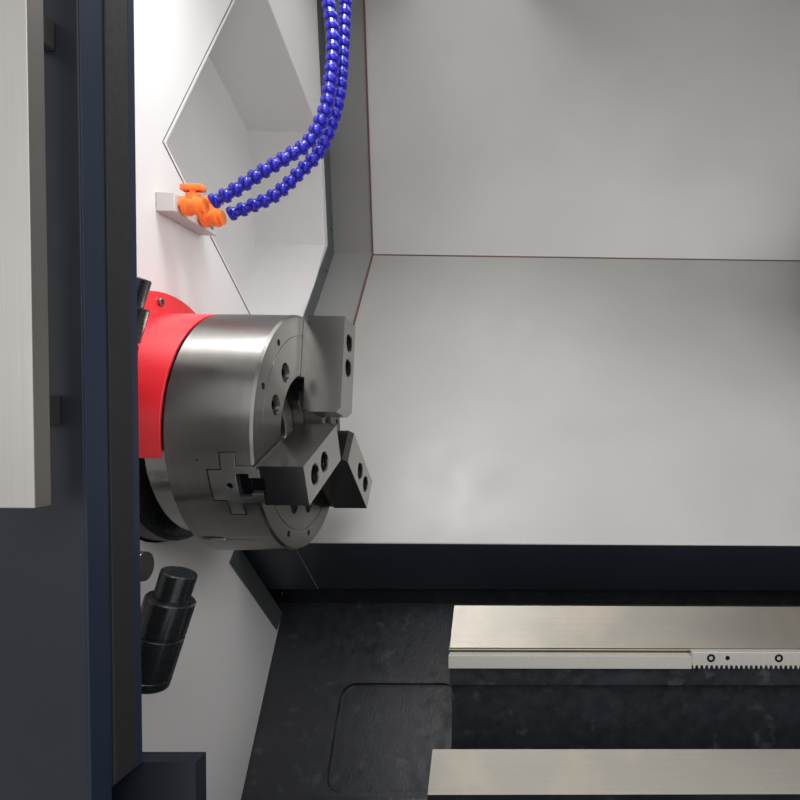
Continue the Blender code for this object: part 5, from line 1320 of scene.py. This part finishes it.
def make_gauges():
    """Two pressure gauges and their setting knobs on the front panel."""
    pieces = []
    for x, sweep in GAUGES:
        z, knob_z = GAUGE_Z, GAUGE_Z - KNOB_DROP
        angle = radians(sweep)
        pieces += [standing_rod("case", x, z, 0.0, 0.020, GAUGE_RADIUS, "black", 64),
                   standing_rod("dial", x, z, 0.0198, 0.0206, DIAL_RADIUS, "white", 64)]
        pieces += tick_marks((x, FRONT_SKIN - 0.0208, z), 11, -135, 27, DIAL_MARKS, 0.0004, "black")
        pieces += [rod("pointer", (x, FRONT_SKIN - 0.0212, z),
                       (x + 0.019 * sin(angle), FRONT_SKIN - 0.0212, z + 0.019 * cos(angle)),
                       0.0007, "red", 8),
                   standing_rod("hub", x, z, 0.0200, 0.0220, 0.0028, "black", 20),
                   standing_rod("knob_stem", x, knob_z, 0.0, 0.012, 0.008, "bright", 24),
                   standing_rod("knob", x, knob_z, 0.010, 0.030, KNOB_RADIUS, "black", 12)]
    spots = [(x, FRONT_SKIN + HEAD_SINK, z) for x in PANEL_SCREWS_X for z in PANEL_SCREWS_Z]
    pieces += screw_heads(spots, TO_FRONT, (0.0055, 0.0026))
    add_fittings("front_fittings", pieces, "front_panel")


def washer(name, x, z, start, thick, outer, inner, material):
    """A flat ring on the panel's face, round a button or the handwheel."""
    ring = rod(name, (x, start + HEAD_SINK, z), (x, start - thick, z), outer, material, 64)
    return carve(ring, [rod("hole", (x, start + 0.01, z), (x, start - 0.01, z), inner, material, 48)])


# The control panel's fittings, from its lower left corner
SCREEN_LOW = (0.050, 0.260)
SCREEN_HIGH = (0.380, 0.530)
SCREEN_LINES = ((0.012, 0.246, 0.306, 0.012), (0.012, 0.020, 0.004, 0.214), (0.200, 0.020, 0.004, 0.214))
LEFT_BARS = (0.150, 0.120, 0.168, 0.096, 0.140, 0.110, 0.156)
RIGHT_BARS = (0.090, 0.060, 0.078, 0.050)
SOFT_KEYS = 10
SOFT_KEY_PITCH = 0.0325
SOFT_KEY_Z = 0.222
SOFT_KEY_SIZE = (0.022, 0.014, 0.0028)
KEY_COLUMNS = 9
KEY_ROWS = 3
KEY_START = (0.178, 0.142)
KEY_PITCH = (0.0245, 0.0240)
KEY_SIZE = (0.018, 0.017, 0.0030)
KNOB_SPOTS_X = (0.070, 0.128)
KNOB_SPOTS_Z = 0.180
WHEEL_SPOT = (0.110, 0.100)
STOP_SPOT = (0.370, 0.080)


def screen_pieces(left, face, floor):
    """The screen, its bezel and the bars and lines that it shows."""
    low = (left + SCREEN_LOW[0], floor + SCREEN_LOW[1])
    high = (left + SCREEN_HIGH[0], floor + SCREEN_HIGH[1])
    pieces = [block("screen", (low[0], face + 0.0020, low[1]), (high[0], face + 0.0045, high[1]),
                    "screen", 0.0)]
    pieces += frame_blocks("bezel", (low[0], face - 0.0020, low[1]), (high[0], face + 0.0010, high[1]), 0.012,
                           "black")
    lit = list(SCREEN_LINES)
    lit += [(0.024, 0.034 + row * 0.028, length, 0.010) for row, length in enumerate(LEFT_BARS)]
    lit += [(0.216, 0.044 + row * 0.046, length, 0.018) for row, length in enumerate(RIGHT_BARS)]
    for x, z, wide, tall in lit:
        pieces.append(block("lit", (low[0] + x, face + 0.0016, low[1] + z),
                            (low[0] + x + wide, face + 0.0021, low[1] + z + tall), "screen_light", 0.0))
    return pieces


def key_pieces(left, face, floor):
    """The soft keys below the screen, and the rows of keys beside the knobs."""
    start = left + SCREEN_LOW[0] + 0.008
    keys = [(start + column * SOFT_KEY_PITCH, floor + SOFT_KEY_Z, *SOFT_KEY_SIZE, "key")
            for column in range(SOFT_KEYS)]
    for row in range(KEY_ROWS):
        for column in range(KEY_COLUMNS):
            tone = "white" if (row + column) % 4 == 0 else "key"
            keys.append((left + KEY_START[0] + column * KEY_PITCH[0],
                         floor + KEY_START[1] + row * KEY_PITCH[1], *KEY_SIZE, tone))
    return [block("key", (x, face - stand, z), (x + wide, face + 0.001, z + tall), tone, 0.0012)
            for x, z, wide, tall, stand, tone in keys]


def make_controls():
    finish_all(("control_panel", "dark", 0.001), ("e_stop_button", "red", 0.003),
               ("start_button", "green", 0.001), ("handwheel", "black", 0.003))
    left, face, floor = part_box("control_panel")[0]
    pieces = screen_pieces(left, face, floor) + key_pieces(left, face, floor)
    z = floor + KNOB_SPOTS_Z
    for x in (left + KNOB_SPOTS_X[0], left + KNOB_SPOTS_X[1]):
        pieces.append(rod("override", (x, face, z), (x, face - 0.016, z), 0.0130, "black", 48, 0.0115))
        pieces.append(block("index", (x - 0.0010, face - 0.0166, z + 0.002),
                            (x + 0.0010, face - 0.0150, z + 0.011), "white", 0.0))
    wheel_x, wheel_z = left + WHEEL_SPOT[0], floor + WHEEL_SPOT[1]
    stop_x, stop_z = left + STOP_SPOT[0], floor + STOP_SPOT[1]
    pieces.append(washer("stop_ring", stop_x, stop_z, face, 0.0012, 0.0300, 0.0116, "yellow"))
    pieces.append(washer("start_ring", stop_x - 0.090, stop_z, face, 0.0018, 0.0160, 0.0114, "stainless"))
    pieces.append(washer("wheel_ring", wheel_x, wheel_z, face, 0.0020, 0.0470, 0.0386, "stainless"))
    add_fittings("panel_fittings", pieces, "control_panel")
    centre = (wheel_x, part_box("handwheel")[1][1] - 0.0138, wheel_z)
    marks = tick_marks(centre, 24, 0, 15, (0.0310, 0.0345), 0.0005, "white")
    add_fittings("handwheel_ticks", marks, "handwheel")


def stage():
    MATERIALS["floor"] = Surface("pale_floor", (0.80, 0.80, 0.80, 1.0), 0.6).material
    floor = add_object("floor", box_shape((-9, -9, -0.02), (9, 9, 0.0)), "floor")


def area_light(name, place, target, size, power, spread=180.0, reflected=True):
    """A rectangular lamp that the camera never sees, aimed at a point."""
    data = bpy.data.lights.new(name, "AREA")
    data.spread = radians(spread)
    data.shape = "RECTANGLE"
    data.size, data.size_y = size
    data.energy = power
    lamp = add_to_scene(name, data)
    lamp.location = place
    run = Vector(target) - Vector(place)
    lamp.rotation_euler = run.to_track_quat("-Z", "Y").to_euler()
    lamp.visible_camera = False
    lamp.visible_glossy = reflected


WORLD_LIGHT = 0.62


def light_world():
    """A pale surrounding, full for what the camera, glass and gloss see and dimmer as a light."""
    world = bpy.data.worlds.new("studio")
    world.use_nodes = True
    tree = world.node_tree
    background = tree.nodes["Background"]
    background.inputs["Color"].default_value = (0.94, 0.94, 0.94, 1.0)
    path = tree.nodes.new("ShaderNodeLightPath")
    shown = path.outputs["Is Camera Ray"]
    for ray, operation in (("Is Transmission Ray", "ADD"), ("Is Glossy Ray", "MAXIMUM")):
        either = tree.nodes.new("ShaderNodeMath")
        either.operation = operation
        tree.links.new(shown, either.inputs[0])
        tree.links.new(path.outputs[ray], either.inputs[1])
        shown = either.outputs[0]
    strength = tree.nodes.new("ShaderNodeMapRange")
    strength.inputs["To Min"].default_value = WORLD_LIGHT
    tree.links.new(shown, strength.inputs["Value"])
    tree.links.new(strength.outputs["Result"], background.inputs["Strength"])
    bpy.context.scene.world = world


def light():
    light_world()
    area_light("key", (0.9, -3.2, 3.0), (0.2, 0.2, 1.0), (2.6, 2.0), 58)
    area_light("fill", (-1.2, -3.0, 1.4), (0.2, 0.3, 1.0), (1.6, 2.0), 18)
    area_light("inside", (0.34, 0.10, 1.88), (0.30, 0.06, 1.0), (1.0, 0.40), 2.2, 140.0)
    area_light("over_chuck", (0.03, -0.13, 1.74), (-0.04, -0.08, 1.15), (0.24, 0.14), 1.6, 110.0)
    area_light("side", (1.10, 0.02, 1.50), (-0.15, 0.15, 1.30), (0.5, 0.5), 2.4, 140.0, False)
    area_light("opening", (0.60, -0.62, 1.30), (0.35, 0.40, 1.25), (0.9, 0.5), 3.6, 150.0, False)
    area_light("back", (0.5, 4.0, 3.0), (0.3, 0.5, 0.8), (3.0, 2.0), 70)


# The photograph's camera
CAMERA_PLACE = (0.2565, -0.697, 1.0605)
CAMERA_PITCH = 1.83
CAMERA_YAW = 1.11
CAMERA_ROLL = 0.54
CAMERA_LENS = 28.35
CAMERA_SHIFT = (-0.1875, 0.0575)


def add_camera():
    yaw, pitch, roll = radians(CAMERA_YAW), radians(CAMERA_PITCH), radians(CAMERA_ROLL)
    up = Vector((0, 0, 1))
    right = Vector((cos(yaw), -sin(yaw), 0))
    level = Vector((sin(yaw), cos(yaw), 0))
    ahead = level * cos(pitch) - up * sin(pitch)
    tilted = up * cos(pitch) + level * sin(pitch)
    side = right * cos(roll) + tilted * sin(roll)
    top = tilted * cos(roll) - right * sin(roll)
    data = bpy.data.cameras.new("camera")
    data.sensor_width = 36.0
    data.lens = CAMERA_LENS
    data.shift_x, data.shift_y = CAMERA_SHIFT
    data.clip_start = 0.01
    camera = add_to_scene("camera", data)
    camera.matrix_world = Matrix.Translation(CAMERA_PLACE) @ Matrix(
        (side, top, -ahead)).transposed().to_4x4()
    bpy.context.scene.camera = camera


make_chuck()
make_coolant()
make_covers()
make_trims()
make_guard()
make_spindle_parts()
make_wall()
make_bed()
make_carriage()
make_lamps()
make_front()
make_controls()
stage()
light()
add_camera()
bpy.context.scene.view_settings.view_transform = "Standard"
